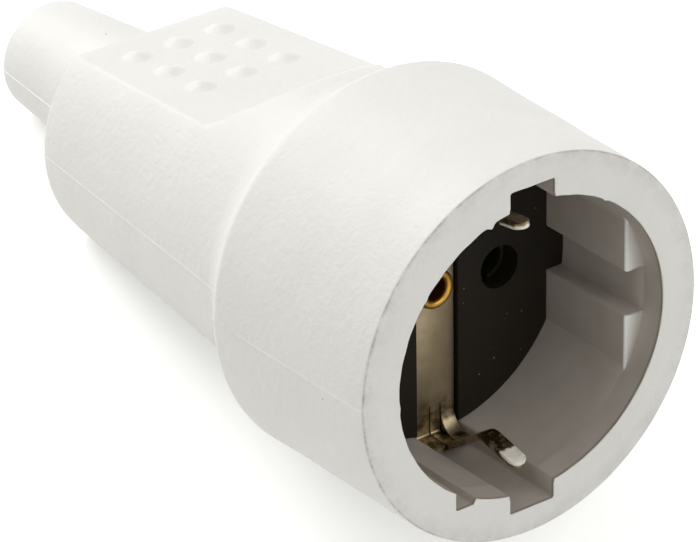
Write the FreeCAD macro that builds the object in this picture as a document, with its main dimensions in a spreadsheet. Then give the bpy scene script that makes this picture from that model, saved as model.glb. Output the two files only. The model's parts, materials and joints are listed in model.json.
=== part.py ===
"""Inline cable socket, round with side earth tongues, lying as it comes to rest.

Every piece is drawn on the socket's own axes: +Y from the rim to the cord's inlet, +Z up, with the
origin at the centre of the rim. The rest placement then lays the socket down on the back edge of its
cup and the end of its neck.
"""
import FreeCAD, Part
import math
import os
import Sketcher
from FreeCAD import Placement, Rotation, Vector

# Driving dimensions, in millimetres and degrees
SIZES = {
    # housing, outside
    "rim_radius": 25.0,
    "rim_edge": 0.5,
    "cup_back_radius": 25.5,
    "cup_length": 28.8,
    "cup_back_edge": 0.65,
    "ramp_length": 4.7,
    "ramp_hollow": 2.0,
    "grip_front_radius": 21.1,
    "grip_back_radius": 16.9,
    "grip_length": 77.2,
    "grip_edge": 0.45,
    "neck_root_radius": 9.7,
    "neck_end_radius": 7.4,
    "neck_edge": 0.8,
    "overall_length": 100.8,
    "rest_flat": 0.2,
    # flats of the grip and their bumps
    "flat_front_height": 14.9,
    "flat_back_height": 12.25,
    "flat_front_place": 46.5,
    "flat_run_out_angle": 37.0,
    "bump_radius": 1.8,
    "bump_height": 0.55,
    "bump_root": 0.2,
    "bump_pitch_across": 6.3,
    "bump_pitch_along": 6.8,
    "bump_middle_place": 64.1,
    # housing, inside
    "bore_radius": 19.5,
    "recess_depth": 18.3,
    "seat_depth": 26.3,
    "slot_clearance": 0.35,
    "slot_reach": 21.5,
    "rib_flat": 16.9,
    "rib_setback": 3.9,
    "channel_width": 5.9,
    "key_place": 9.95,
    "key_width": 2.9,
    "key_reach": 18.0,
    "nib_width": 4.0,
    "nib_length": 2.0,
    "nib_height": 0.6,
    "nib_setback": 4.0,
    "grip_wall": 3.5,
    "back_wall": 3.2,
    "inlet_radius": 5.0,
    # contact carrier
    "carrier_gap": 0.15,
    "carrier_web": 4.0,
    "carrier_skirt": 1.8,
    "pin_pitch": 19.0,
    "pin_hole_radius": 2.85,
    "pin_web": 2.7,
    "block_length": 24.0,
    "chamber_wall": 1.5,
    "bay_width": 7.4,
    "bay_depth": 4.2,
    "tail_length": 17.0,
    "tail_overhang": 2.8,
    "tail_depth": 5.0,
    "tail_thickness": 2.4,
    "post_radius": 2.9,
    "post_height": 6.5,
    "post_pitch": 14.4,
    "post_setback": 10.0,
    # line and neutral contacts
    "sleeve_bore_radius": 2.43,
    "sleeve_radius": 3.3,
    "sleeve_length": 15.0,
    "sleeve_bore_depth": 17.0,
    "slit_width": 0.7,
    "slit_length": 13.0,
    "pillar_radius": 4.0,
    "contact_length": 24.5,
    "wire_bore_radius": 1.7,
    "wire_bore_depth": 6.0,
    "terminal_setback": 3.5,
    # earth strap, eyelet, lug and washer
    "strap_width": 5.9,
    "strap_thickness": 0.8,
    "strap_recess": 0.55,
    "strap_reach": 20.7,
    "strap_slit_root": 16.0,
    "strap_slit_width": 0.12,
    "left_foot_bend": 1.2,
    "right_foot_bend": 3.4,
    "foot_length": 4.05,
    "tongue_root_width": 1.5,
    "tongue_width": 2.4,
    "tongue_shoulder": 1.0,
    "tongue_bend": 1.5,
    "hump_place": 8.5,
    "hump_reach": 15.8,
    "hump_bend": 1.8,
    "tip_place": 2.1,
    "tip_reach": 17.1,
    "tip_corner": 1.1,
    "eyelet_bore_radius": 1.5,
    "eyelet_tube_radius": 1.9,
    "eyelet_head_radius": 2.6,
    "eyelet_head": 0.6,
    "eyelet_edge": 0.35,
    "lug_width": 6.4,
    "lug_thickness": 1.0,
    "lug_bend": 1.4,
    "lug_rise": 3.2,
    "lug_length": 20.5,
    "earth_terminal_setback": 16.5,
    "washer_width": 6.0,
    "washer_thickness": 1.0,
    # screws, nuts and cord clamp
    "fit_gap": 0.05,
    "terminal_thread_radius": 1.75,
    "terminal_head_radius": 2.8,
    "terminal_head_height": 2.2,
    "terminal_screw_length": 5.2,
    "terminal_screw_lift": 0.3,
    "clamp_thread_radius": 1.5,
    "clamp_head_radius": 2.7,
    "clamp_head_height": 2.0,
    "clamp_screw_length": 10.8,
    "screw_slot_width": 0.8,
    "screw_slot_depth": 1.0,
    "nut_width": 5.5,
    "nut_thickness": 1.8,
    "bar_overhang": 2.8,
    "bar_width": 7.0,
    "bar_thickness": 3.0,
    "ridge_length": 8.0,
    "ridge_width": 2.0,
    "ridge_height": 1.2,
}

CUT_OVER = 1.0
ALONG_Y = Rotation(Vector(1, 0, 0), -90)
UPRIGHT = Rotation()

doc = FreeCAD.newDocument("inline_socket")
sheet = doc.addObject("Spreadsheet::Sheet", "sizes")
for row, (alias, number) in enumerate(SIZES.items(), start=1):
    sheet.set(f"A{row}", alias)
    sheet.set(f"B{row}", str(number))
    sheet.setAlias(f"B{row}", alias)
doc.recompute()


def size(alias):
    """Number held by the sheet under this alias."""
    return float(sheet.get(alias))


def bind(thing, **formulas):
    """Bind properties of a document object to formulas over the sheet."""
    for name, formula in formulas.items():
        thing.setExpression(name, formula)
    return thing


def put(thing, x="0", y="0", z="0", turn=UPRIGHT):
    """Turn a document object and bind its place to formulas over the sheet."""
    thing.Placement = Placement(Vector(), turn)
    for letter, formula in zip("xyz", (x, y, z)):
        thing.setExpression(f"Placement.Base.{letter}", formula)
    return thing


def rod(name, radius, start, end, x="0", z="0"):
    """Cylinder along the socket's axis from one depth to another."""
    thing = doc.addObject("Part::Cylinder", name)
    bind(thing, Radius=radius, Height=f"({end}) - ({start})")
    return put(thing, x, start, z, ALONG_Y)


def peg(name, radius, low, high, x, y):
    """Upright cylinder between two heights."""
    thing = doc.addObject("Part::Cylinder", name)
    bind(thing, Radius=radius, Height=f"({high}) - ({low})")
    return put(thing, x, y, low)


def block(name, across, along, upward):
    """Box from three pairs of formulas: low and high X, Y and Z."""
    thing = doc.addObject("Part::Box", name)
    spans = [f"({high}) - ({low})" for low, high in (across, along, upward)]
    bind(thing, Length=spans[0], Width=spans[1], Height=spans[2])
    return put(thing, across[0], along[0], upward[0])


def fuse(name, things):
    thing = doc.addObject("Part::MultiFuse", name)
    thing.Shapes = things
    return thing


def common(name, things):
    thing = doc.addObject("Part::MultiCommon", name)
    thing.Shapes = things
    return thing


def cut(name, base, tools):
    """Base with the tools taken out of it."""
    thing = doc.addObject("Part::Cut", name)
    thing.Base = base
    thing.Tool = tools[0] if len(tools) == 1 else fuse(f"{name}_tools", tools)
    return thing


def outline(body, name, role, corners):
    """Closed straight-sided sketch on one of the body's own planes, every corner bound to the sheet."""
    sketch = body.newObject("Sketcher::SketchObject", name)
    plane = next(item for item in body.Origin.OriginFeatures if item.Role == role)
    sketch.AttachmentSupport = [(plane, "")]
    sketch.MapMode = "FlatFace"
    count = len(corners)
    turns = [k * math.tau / count for k in range(count)]
    ring = [Vector(2 + math.cos(turn), 2 + math.sin(turn), 0) for turn in turns]
    for k in range(count):
        sketch.addGeometry(Part.LineSegment(ring[k], ring[(k + 1) % count]))
    for k in range(count):
        sketch.addConstraint(Sketcher.Constraint("Coincident", k, 2, (k + 1) % count, 1))
    for k, pair in enumerate(corners):
        for kind, axis, formula in zip(("DistanceX", "DistanceY"), (-2, -1), pair):
            if formula == "0":
                sketch.addConstraint(Sketcher.Constraint("PointOnObject", k, 1, axis))
            else:
                index = sketch.addConstraint(Sketcher.Constraint(kind, -1, 1, k, 1, 1.0))
                sketch.setExpression(f"Constraints[{index}]", formula)
    return sketch


def turned(name, corners):
    """Body turned about the socket's axis from an outline of radius and depth."""
    body = doc.addObject("PartDesign::Body", name)
    sketch = outline(body, f"{name}_outline", "XY_Plane", corners)
    turning = body.newObject("PartDesign::Revolution", f"{name}_turning")
    turning.Profile = (sketch, [""])
    turning.ReferenceAxis = (sketch, ["V_Axis"])
    doc.recompute()
    return body


# Depths and formulas that several pieces share
RAMP_END = "(sizes.cup_length + sizes.ramp_length)"
RAMP_SLOPE = "((sizes.cup_back_radius - sizes.grip_front_radius) / sizes.ramp_length)"
CONE_SLOPE = f"((sizes.grip_front_radius - sizes.grip_back_radius) / (sizes.grip_length - {RAMP_END}))"
FLAT_DROP = "(sizes.flat_front_height - sizes.flat_back_height)"
FLAT_SLOPE = f"({FLAT_DROP} / (sizes.grip_length - sizes.flat_front_place))"
CAVITY_END = "(sizes.grip_length - sizes.back_wall)"
WEB_BACK = "(sizes.recess_depth + sizes.carrier_web)"
BLOCK_END = f"({WEB_BACK} + sizes.block_length)"
CHAMBER_RADIUS = "(sizes.pillar_radius + sizes.carrier_gap)"
CHAMBER_FRONT = "(sizes.recess_depth + sizes.pin_web)"
CONTACT_FRONT = f"({CHAMBER_FRONT} + sizes.carrier_gap)"
CONTACT_END = f"({CONTACT_FRONT} + sizes.contact_length)"
TERMINAL_PLACE = f"({CONTACT_END} - sizes.terminal_setback)"
EARTH_TERMINAL_PLACE = f"({WEB_BACK} + sizes.earth_terminal_setback)"
STRAP_FACE = "(sizes.recess_depth + sizes.strap_recess)"
STRAP_BACK = f"({STRAP_FACE} + sizes.strap_thickness)"
LUG_BACK = f"({WEB_BACK} + sizes.lug_thickness)"
CLAMP_PLACE = f"({BLOCK_END} + sizes.post_setback)"
POST_TOP = "(sizes.post_height - sizes.tail_depth)"
TAIL_UNDERSIDE = "(-sizes.tail_depth - sizes.tail_thickness)"
LUG_TOP = "(sizes.lug_thickness - sizes.bay_depth)"
WASHER_TOP = f"({LUG_TOP} + sizes.washer_thickness)"
HALF_PITCH = "(sizes.pin_pitch / 2)"
HALF_POSTS = "(sizes.post_pitch / 2)"
HALF_SLOT = "(sizes.strap_width / 2 + sizes.slot_clearance)"
SIDES = (("left", -1), ("right", 1))
ENDS = (("upper", 1), ("lower", -1))


def cone_radius(depth):
    """Formula for the grip's outer radius at a depth."""
    return f"(sizes.grip_back_radius + {CONE_SLOPE} * (sizes.grip_length - ({depth})))"


def flat_height(depth):
    """Formula for the height of the grip's upper flat at a depth."""
    return f"(sizes.flat_back_height + {FLAT_SLOPE} * (sizes.grip_length - ({depth})))"


def recess_form(name, inset, front, back, rib_front):
    """Section of the socket's recess drawn in by an inset, as a solid between two depths.

    A round bore narrowed by four guide ribs, with a slot above and below for the earth tongues and a
    keyway at the lower left.
    """
    half_channel = f"(sizes.channel_width / 2 - {inset})"
    flat = f"(sizes.rib_flat - {inset})"
    ribs = []
    for side, sign in SIDES:
        for end, up in ENDS:
            across = (flat, f"sizes.bore_radius + {CUT_OVER}")
            upward = (half_channel, f"sizes.bore_radius + {CUT_OVER}")
            if sign < 0:
                across = tuple(f"-({edge})" for edge in reversed(across))
            if up < 0:
                upward = tuple(f"-({edge})" for edge in reversed(upward))
            along = (rib_front, f"{back} + {CUT_OVER}")
            ribs.append(block(f"{name}_{end}_{side}_rib", across, along, upward))
    bore = rod(f"{name}_bore", f"sizes.bore_radius - {inset}", front, back)
    ribbed = cut(f"{name}_ribbed", bore, ribs)
    half_slot = f"({HALF_SLOT} - {inset})"
    reach = f"(sizes.slot_reach - {inset})"
    slots = block(f"{name}_slots", (f"-{half_slot}", half_slot), (front, back), (f"-{reach}", reach))
    half_key = f"(sizes.key_width / 2 - {inset})"
    keyway = block(f"{name}_keyway", (f"-sizes.key_place - {half_key}", f"-sizes.key_place + {half_key}"),
                   (front, back), (f"{inset} - sizes.key_reach", f"-sizes.key_place"))
    return fuse(name, [ribbed, slots, keyway])


def nib_forms(name, spare, low, high):
    """Snap nibs on the upper and lower slot tabs, grown by a spare on their three free sides."""
    half = f"(sizes.nib_width / 2 + {spare})"
    first = f"(sizes.recess_depth + sizes.nib_setback - {spare})"
    last = f"(sizes.recess_depth + sizes.nib_setback + sizes.nib_length + {spare})"
    upper = block(f"{name}_upper", (f"-{half}", half), (first, last), (low, high))
    lower = block(f"{name}_lower", (f"-{half}", half), (first, last), (f"-({high})", f"-({low})"))
    return [upper, lower]


# Housing: one soft moulding, turned outside with two flats on the grip
def make_housing():
    hollow_end = f"({RAMP_END} + sizes.ramp_hollow)"
    grip_edge = "(sizes.grip_length - sizes.grip_edge)"
    body = turned("housing_blank", [
        ("0", "0"),
        ("sizes.rim_radius - sizes.rim_edge", "0"),
        ("sizes.rim_radius", "sizes.rim_edge"),
        ("sizes.cup_back_radius", "sizes.cup_length - sizes.cup_back_edge"),
        (f"sizes.cup_back_radius - {RAMP_SLOPE} * sizes.cup_back_edge",
         "sizes.cup_length + sizes.cup_back_edge"),
        (f"sizes.grip_front_radius + {RAMP_SLOPE} * sizes.ramp_hollow", f"{RAMP_END} - sizes.ramp_hollow"),
        (cone_radius(hollow_end), hollow_end),
        (cone_radius(grip_edge), grip_edge),
        ("sizes.grip_back_radius - sizes.grip_edge", "sizes.grip_length"),
        ("sizes.neck_root_radius", "sizes.grip_length"),
        ("sizes.neck_end_radius", "sizes.overall_length - sizes.neck_edge"),
        ("sizes.neck_end_radius - sizes.neck_edge", "sizes.overall_length"),
        ("0", "sizes.overall_length"),
    ])
    cut_flats(body)
    front, back = rest_points(body)
    recess = recess_form("recess", "0", f"-{CUT_OVER}", "sizes.seat_depth", "sizes.rib_setback")
    nibs = nib_forms("nib_pocket", "sizes.carrier_gap", "sizes.rib_flat",
                     "sizes.slot_reach + sizes.nib_height")
    cavity = make_cavity()
    inlet = rod("inlet", "sizes.inlet_radius", f"{CAVITY_END} - {CUT_OVER}",
                f"sizes.overall_length + {CUT_OVER}")
    hollow = cut("housing_hollow", body, [recess, cavity, inlet] + nibs)
    moulding = fuse("housing_moulding", [hollow] + make_bumps())
    tilt = rest_tilt(front, back)
    floor = doc.addObject("Part::Box", "rest_floor")
    floor.Length = 4 * size("cup_back_radius")
    floor.Width = 2 * size("overall_length")
    floor.Height = size("cup_back_radius")
    on_line = Placement(Vector(0, front[0], -front[1]), Rotation(Vector(1, 0, 0), tilt))
    corner = Vector(-2 * size("cup_back_radius"), -size("overall_length") / 2,
                    size("rest_flat") - size("cup_back_radius"))
    floor.Placement = on_line.multiply(Placement(corner, UPRIGHT))
    return cut("housing", moulding, [floor]), tilt


def rest_points(body):
    """Depth and drop below the axis of the two points on which the body lies, front and back."""
    middle = size("overall_length") / 2
    section = body.Shape.slice(Vector(1, 0, 0), 0)
    points = [(vertex.Y, -vertex.Z) for wire in section for vertex in wire.Vertexes if vertex.Z < 0]
    pairs = [(front, back) for front in points if front[0] < middle for back in points if back[0] > middle]
    def height(pair):
        (front, high), (back, low) = pair
        return high + (low - high) * (middle - front) / (back - front)
    return max(pairs, key=height)


def rest_tilt(front, back):
    """Angle between the axis and the floor, in degrees."""
    return math.degrees(math.atan2(front[1] - back[1], back[0] - front[0]))


def cut_flats(body):
    """Cut the upper flat with its sloping front end, then the lower one as its mirror image."""
    top = "(2 * sizes.grip_front_radius)"
    beyond = f"(sizes.grip_length + {CUT_OVER})"
    run_out = f"(({top} - sizes.flat_front_height) / tan(sizes.flat_run_out_angle * 1 deg))"
    sketch = outline(body, "flat_outline", "YZ_Plane", [
        ("sizes.flat_front_place", "sizes.flat_front_height"),
        ("sizes.grip_length", "sizes.flat_back_height"),
        (beyond, "sizes.flat_back_height"),
        (beyond, top),
        (f"sizes.flat_front_place - {run_out}", top),
    ])
    doc.recompute()
    before = body.Shape.Volume
    flat = body.newObject("PartDesign::Pocket", "upper_flat")
    flat.Profile = (sketch, [""])
    flat.SideType = "Symmetric"
    bind(flat, Length="4 * sizes.cup_back_radius")
    doc.recompute()
    lower = body.newObject("PartDesign::Mirrored", "lower_flat")
    lower.Originals = [flat]
    plane = next(item for item in body.Origin.OriginFeatures if item.Role == "XY_Plane")
    lower.MirrorPlane = (plane, [""])
    body.Tip = lower
    doc.recompute()
    if not 0 < body.Shape.Volume < before:
        raise RuntimeError("the flats took nothing off the grip")


def make_cavity():
    """Wiring space in the grip: a cone with two flats, a wall's thickness inside the outer faces."""
    cone = doc.addObject("Part::Cone", "cavity_cone")
    bind(cone, Radius1=f"{cone_radius('sizes.seat_depth')} - sizes.grip_wall",
         Radius2=f"{cone_radius(CAVITY_END)} - sizes.grip_wall",
         Height=f"{CAVITY_END} - sizes.seat_depth")
    put(cone, y="sizes.seat_depth", turn=ALONG_Y)
    slab = doc.addObject("Part::Wedge", "cavity_slab")
    front = f"({flat_height('sizes.seat_depth')} - sizes.grip_wall)"
    back = f"({flat_height(CAVITY_END)} - sizes.grip_wall)"
    wide = "sizes.rim_radius"
    bind(slab, Ymin="sizes.seat_depth", Ymax=CAVITY_END)
    bind(slab, Xmin=f"-{wide}", Xmax=wide, X2min=f"-{wide}", X2max=wide)
    bind(slab, Zmin=f"-{front}", Zmax=front, Z2min=f"-{back}", Z2max=back)
    return common("cavity", [cone, slab])


def make_bumps():
    """Three by three low eight-sided studs on each flat, rooted a little below its face."""
    tilt = math.degrees(math.atan2(size("flat_front_height") - size("flat_back_height"),
                                   size("grip_length") - size("flat_front_place")))
    lean = f"sqrt(1 + {FLAT_SLOPE} ^ 2)"
    bumps = []
    for end, up in ENDS:
        turn = Rotation(Vector(1, 0, 0), -tilt if up > 0 else 180 + tilt)
        for row in (-1, 0, 1):
            place = f"(sizes.bump_middle_place + {row} * sizes.bump_pitch_along)"
            for column in (-1, 0, 1):
                bump = doc.addObject("Part::Prism", f"{end}_bump")
                bump.Polygon = 8
                bind(bump, Circumradius="sizes.bump_radius", Height="sizes.bump_height + sizes.bump_root")
                put(bump, f"{column} * sizes.bump_pitch_across",
                    f"{place} - sizes.bump_root * {FLAT_SLOPE} / {lean}",
                    f"{up} * ({flat_height(place)} - sizes.bump_root / {lean})", turn)
                bumps.append(bump)
    return bumps


# Contact carrier: black moulding with the pin holes, contact chambers and cord clamp's tail
def make_carrier():
    plate = recess_form("carrier_plate", "sizes.carrier_gap", "sizes.recess_depth", "sizes.seat_depth",
                        f"sizes.recess_depth - {CUT_OVER}")
    nibs = nib_forms("carrier_nib", "0", "sizes.rib_flat",
                     "sizes.slot_reach + sizes.nib_height - sizes.carrier_gap")
    skirt_radius = "(sizes.rib_flat - sizes.carrier_gap - sizes.carrier_skirt)"
    hollow = rod("carrier_hollow", skirt_radius, WEB_BACK, f"sizes.seat_depth + {CUT_OVER}")
    shell = cut("carrier_shell", fuse("carrier_front", [plate] + nibs), [hollow])
    moulding = fuse("carrier_moulding", [shell] + contact_block() + cord_tail())
    half_groove = f"({HALF_SLOT} - sizes.carrier_gap)"
    far = f"(sizes.slot_reach + {CUT_OVER})"
    groove = block("strap_groove", (f"-{half_groove}", half_groove),
                   (f"sizes.recess_depth - {CUT_OVER}", STRAP_BACK), (f"-{far}", far))
    eyelet_hole = rod("eyelet_hole", "sizes.eyelet_tube_radius + sizes.fit_gap", "sizes.recess_depth",
                      f"{WEB_BACK} + {CUT_OVER}")
    return cut("contact_carrier", moulding, [groove, eyelet_hole] + chambers() + earth_bay() + clamp_holes())


def contact_block():
    """Oblong block round the two contacts."""
    start = f"{WEB_BACK} - {CUT_OVER}"
    radius = f"({CHAMBER_RADIUS} + sizes.chamber_wall)"
    forms = [rod(f"{side}_block_end", radius, start, BLOCK_END, f"{sign} * {HALF_PITCH}")
             for side, sign in SIDES]
    forms.append(block("block_middle", (f"-{HALF_PITCH}", HALF_PITCH), (start, BLOCK_END),
                       (f"-{radius}", radius)))
    return forms


def cord_tail():
    """Floor behind the block, with a post for each clamp screw."""
    half = f"({HALF_POSTS} + sizes.tail_overhang)"
    floor = block("tail_floor", (f"-{half}", half), (TERMINAL_PLACE, f"{BLOCK_END} + sizes.tail_length"),
                  (TAIL_UNDERSIDE, "-sizes.tail_depth"))
    posts = [peg(f"{side}_post", "sizes.post_radius", TAIL_UNDERSIDE, POST_TOP,
                 f"{sign} * {HALF_POSTS}", CLAMP_PLACE) for side, sign in SIDES]
    return [floor] + posts


def chambers():
    """Pin hole, contact chamber and screw opening on each side."""
    tools = []
    for side, sign in SIDES:
        middle = f"{sign} * {HALF_PITCH}"
        tools.append(rod(f"{side}_pin_hole", "sizes.pin_hole_radius", f"sizes.recess_depth - {CUT_OVER}",
                         f"{CHAMBER_FRONT} + {CUT_OVER}", middle))
        tools.append(rod(f"{side}_chamber", CHAMBER_RADIUS, CHAMBER_FRONT, f"{BLOCK_END} + {CUT_OVER}",
                         middle))
        tools.append(peg(f"{side}_screw_opening", "sizes.terminal_head_radius + 2 * sizes.carrier_gap", "0",
                         f"2 * {CHAMBER_RADIUS}", middle, TERMINAL_PLACE))
    return tools


def earth_bay():
    """Bay for the earth lug between the chambers, open above, with a hole under its screw."""
    half = "(sizes.bay_width / 2)"
    bay = block("earth_bay", (f"-{half}", half), (WEB_BACK, f"{BLOCK_END} + {CUT_OVER}"),
                ("-sizes.bay_depth", f"2 * {CHAMBER_RADIUS}"))
    hole = peg("earth_screw_hole", "sizes.terminal_thread_radius + sizes.carrier_gap",
               f"{TAIL_UNDERSIDE} - {CUT_OVER}", "-sizes.bay_depth", "0", EARTH_TERMINAL_PLACE)
    return [bay, hole]


def clamp_holes():
    """Screw holes through the posts, with square pockets below for the nuts."""
    half = "(sizes.nut_width / 2 + sizes.carrier_gap)"
    pocket_top = f"({TAIL_UNDERSIDE} + sizes.nut_thickness + sizes.carrier_gap)"
    tools = []
    for side, sign in SIDES:
        middle = f"({sign} * {HALF_POSTS})"
        tools.append(peg(f"{side}_clamp_hole", "sizes.clamp_thread_radius + sizes.carrier_gap",
                         f"{TAIL_UNDERSIDE} - {CUT_OVER}", f"{POST_TOP} + {CUT_OVER}", middle, CLAMP_PLACE))
        tools.append(block(f"{side}_nut_pocket", (f"{middle} - {half}", f"{middle} + {half}"),
                           (f"{CLAMP_PLACE} - {half}", f"{CLAMP_PLACE} + {half}"),
                           (f"{TAIL_UNDERSIDE} - {CUT_OVER}", pocket_top)))
    return tools


# Contacts: turned brass, a slit sleeve in front and a pillar terminal behind
def make_contact(name):
    sleeve_end = f"({CONTACT_FRONT} + sizes.sleeve_length)"
    bore_end = f"({CONTACT_FRONT} + sizes.sleeve_bore_depth)"
    wire_end = f"({CONTACT_END} - sizes.wire_bore_depth)"
    blank = turned(f"{name}_blank", [
        ("sizes.sleeve_bore_radius", CONTACT_FRONT),
        ("sizes.sleeve_radius", CONTACT_FRONT),
        ("sizes.sleeve_radius", sleeve_end),
        ("sizes.pillar_radius", sleeve_end),
        ("sizes.pillar_radius", CONTACT_END),
        ("sizes.wire_bore_radius", CONTACT_END),
        ("sizes.wire_bore_radius", wire_end),
        ("0", wire_end),
        ("0", bore_end),
        ("sizes.sleeve_bore_radius", bore_end),
    ])
    half_slit = "(sizes.slit_width / 2)"
    slit = block(f"{name}_slit", (f"-{half_slit}", half_slit),
                 (f"{CONTACT_FRONT} - {CUT_OVER}", f"{CONTACT_FRONT} + sizes.slit_length"),
                 ("-sizes.pillar_radius", "sizes.pillar_radius"))
    tip = "(sizes.pillar_radius + sizes.terminal_screw_lift - sizes.terminal_screw_length - sizes.fit_gap)"
    tapped = peg(f"{name}_tapped_hole", "sizes.terminal_thread_radius + sizes.fit_gap", tip,
                 f"sizes.pillar_radius + {CUT_OVER}", "0", TERMINAL_PLACE)
    return cut(name, blank, [slit, tapped])


# Bent strips: the earth strap with its two tongues, and the earth lug
def bent_strip(corners, bends, thickness, left, right):
    """Strip of even thickness along a bent path in the YZ plane, between a left and a right X.

    Corners are pairs of depth and height along the strip's outer face. The thickness lies to the
    left of the path's direction, seen with +Y to the right and +Z up.
    """
    points = [Vector(0, depth, height) for depth, height in corners]
    outer = bent_line(points, bends)
    normal = Vector(1, 0, 0)
    inset = []
    for before, after in zip(points, points[1:]):
        inset.append(normal.cross(after.sub(before)).normalize().multiply(thickness))
    inner_points = [points[0].add(inset[0])]
    for k in range(1, len(points) - 1):
        half = inset[k - 1].add(inset[k])
        inner_points.append(points[k].add(half.multiply(2 * thickness ** 2 / half.Length ** 2)))
    inner_points.append(points[-1].add(inset[-1]))
    inner_bends = []
    for k, bend in enumerate(bends):
        turning_left = normal.dot(inset[k].cross(inset[k + 1])) > 0
        inner_bends.append(bend - thickness if turning_left else bend + thickness)
    inner = bent_line(inner_points, inner_bends)
    ends = [Part.LineSegment(points[0], inner_points[0]), Part.LineSegment(points[-1], inner_points[-1])]
    edges = outer + inner + [line.toShape() for line in ends]
    face = Part.Face(Part.Wire(Part.__sortEdges__(edges)))
    face.translate(Vector(left, 0, 0))
    return face.extrude(Vector(right - left, 0, 0))


def bent_line(points, bends):
    """Edges of straight runs through the points, joined by tangent arcs of the given radii."""
    edges = []
    start = points[0]
    for k, bend in enumerate(bends, start=1):
        corner = points[k]
        back = points[k - 1].sub(corner).normalize()
        onward = points[k + 1].sub(corner).normalize()
        half_angle = back.getAngle(onward) / 2
        reach = bend / math.tan(half_angle)
        first = corner.add(back.multiply(reach))
        last = corner.add(onward.multiply(reach))
        towards = first.add(last).multiply(0.5).sub(corner).normalize()
        middle = corner.add(towards.multiply(bend / math.sin(half_angle) - bend))
        edges.append(Part.LineSegment(start, first).toShape())
        edges.append(Part.Arc(first, middle, last).toShape())
        start = last
    edges.append(Part.LineSegment(start, points[-1]).toShape())
    return edges


def make_earth_strap():
    """Flat strip slit twice at each end.

    The outer thirds bend into feet. The middle third bends beside them, widens in front of them and
    rises into the spring tongue.
    """
    thickness = size("strap_thickness")
    back = size("recess_depth") + size("strap_recess") + thickness
    root = -size("strap_slit_root")
    reach = -size("strap_reach")
    half = size("strap_width") / 2
    half_root = size("tongue_root_width") / 2
    half_tongue = size("tongue_width") / 2
    foot_edge = half_root + size("strap_slit_width")
    plate = Part.makeBox(2 * half, thickness, -root, Vector(-half, back - thickness, root))
    foot = [(back - size("foot_length"), reach), (back, reach), (back, root)]
    left_foot = bent_strip(foot, [size("left_foot_bend")], thickness, -half, -foot_edge)
    right_foot = bent_strip(foot, [size("right_foot_bend")], thickness, foot_edge, half)
    tip = (size("tip_place"), -size("tip_reach"))
    hump = (size("hump_place"), -size("hump_reach"))
    rise = Vector(0, hump[0] - foot[0][0], hump[1] - foot[0][1]).normalize()
    rise.multiply(size("tongue_shoulder"))
    shoulder = (foot[0][0] + rise.y, foot[0][1] + rise.z)
    stem = bent_strip([hump] + foot, [size("tongue_bend"), size("left_foot_bend")], thickness,
                      -half_root, half_root)
    blade = bent_strip([tip, hump, shoulder], [size("hump_bend")], thickness, -half_tongue, half_tongue)
    corners = [edge for edge in blade.Edges
               if edge.BoundBox.XLength < 1e-6 and edge.BoundBox.YMax < tip[0] + thickness]
    blade = blade.makeFillet(size("tip_corner"), corners)
    stem_end = Part.makeBox(2 * half, back, -reach, Vector(-half, shoulder[0], reach))
    lower = plate.multiFuse([left_foot, right_foot, stem.common(stem_end), blade])
    whole = lower.fuse(lower.mirror(Vector(), Vector(0, 0, 1))).removeSplitter()
    hole = Part.makeCylinder(size("eyelet_tube_radius") + size("fit_gap"), 2 * thickness,
                             Vector(0, back - 1.5 * thickness, 0), Vector(0, 1, 0))
    thing = doc.addObject("Part::Feature", "earth_strap")
    thing.Shape = whole.cut(hole)
    return thing


def make_earth_lug():
    thickness = size("lug_thickness")
    front = size("recess_depth") + size("carrier_web")
    floor = -size("bay_depth")
    strip = bent_strip([(front, size("lug_rise")), (front, floor), (front + size("lug_length"), floor)],
                       [size("lug_bend")], thickness, -size("lug_width") / 2, size("lug_width") / 2)
    rivet_hole = Part.makeCylinder(size("eyelet_tube_radius") + size("fit_gap"), 3 * thickness,
                                   Vector(0, front - thickness, 0), Vector(0, 1, 0))
    tapped_hole = Part.makeCylinder(size("terminal_thread_radius") + size("fit_gap"), 3 * thickness,
                                    Vector(0, front + size("earth_terminal_setback"), floor - thickness))
    thing = doc.addObject("Part::Feature", "earth_lug")
    thing.Shape = strip.cut(rivet_hole).cut(tapped_hole)
    return thing


def make_eyelet():
    """Brass tube rolled over the strap in front and flared over the lug behind."""
    front = f"({STRAP_FACE} - sizes.eyelet_head)"
    back = f"({LUG_BACK} + sizes.eyelet_head)"
    return turned("earth_eyelet", [
        ("sizes.eyelet_bore_radius", f"{front} + sizes.eyelet_edge"),
        ("sizes.eyelet_bore_radius + sizes.eyelet_edge", front),
        ("sizes.eyelet_head_radius - sizes.eyelet_edge", front),
        ("sizes.eyelet_head_radius", f"{front} + sizes.eyelet_edge"),
        ("sizes.eyelet_head_radius", STRAP_FACE),
        ("sizes.eyelet_tube_radius", STRAP_FACE),
        ("sizes.eyelet_tube_radius", LUG_BACK),
        ("sizes.eyelet_head_radius", LUG_BACK),
        ("sizes.eyelet_head_radius", back),
        ("sizes.eyelet_bore_radius", back),
    ])


def make_washer():
    half = "(sizes.washer_width / 2)"
    plate = block("washer_plate", (f"-{half}", half),
                  (f"{EARTH_TERMINAL_PLACE} - {half}", f"{EARTH_TERMINAL_PLACE} + {half}"),
                  (LUG_TOP, WASHER_TOP))
    hole = peg("washer_hole", "sizes.terminal_thread_radius + sizes.carrier_gap", f"{LUG_TOP} - {CUT_OVER}",
               f"{WASHER_TOP} + {CUT_OVER}", "0", EARTH_TERMINAL_PLACE)
    return cut("earth_washer", plate, [hole])


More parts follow.
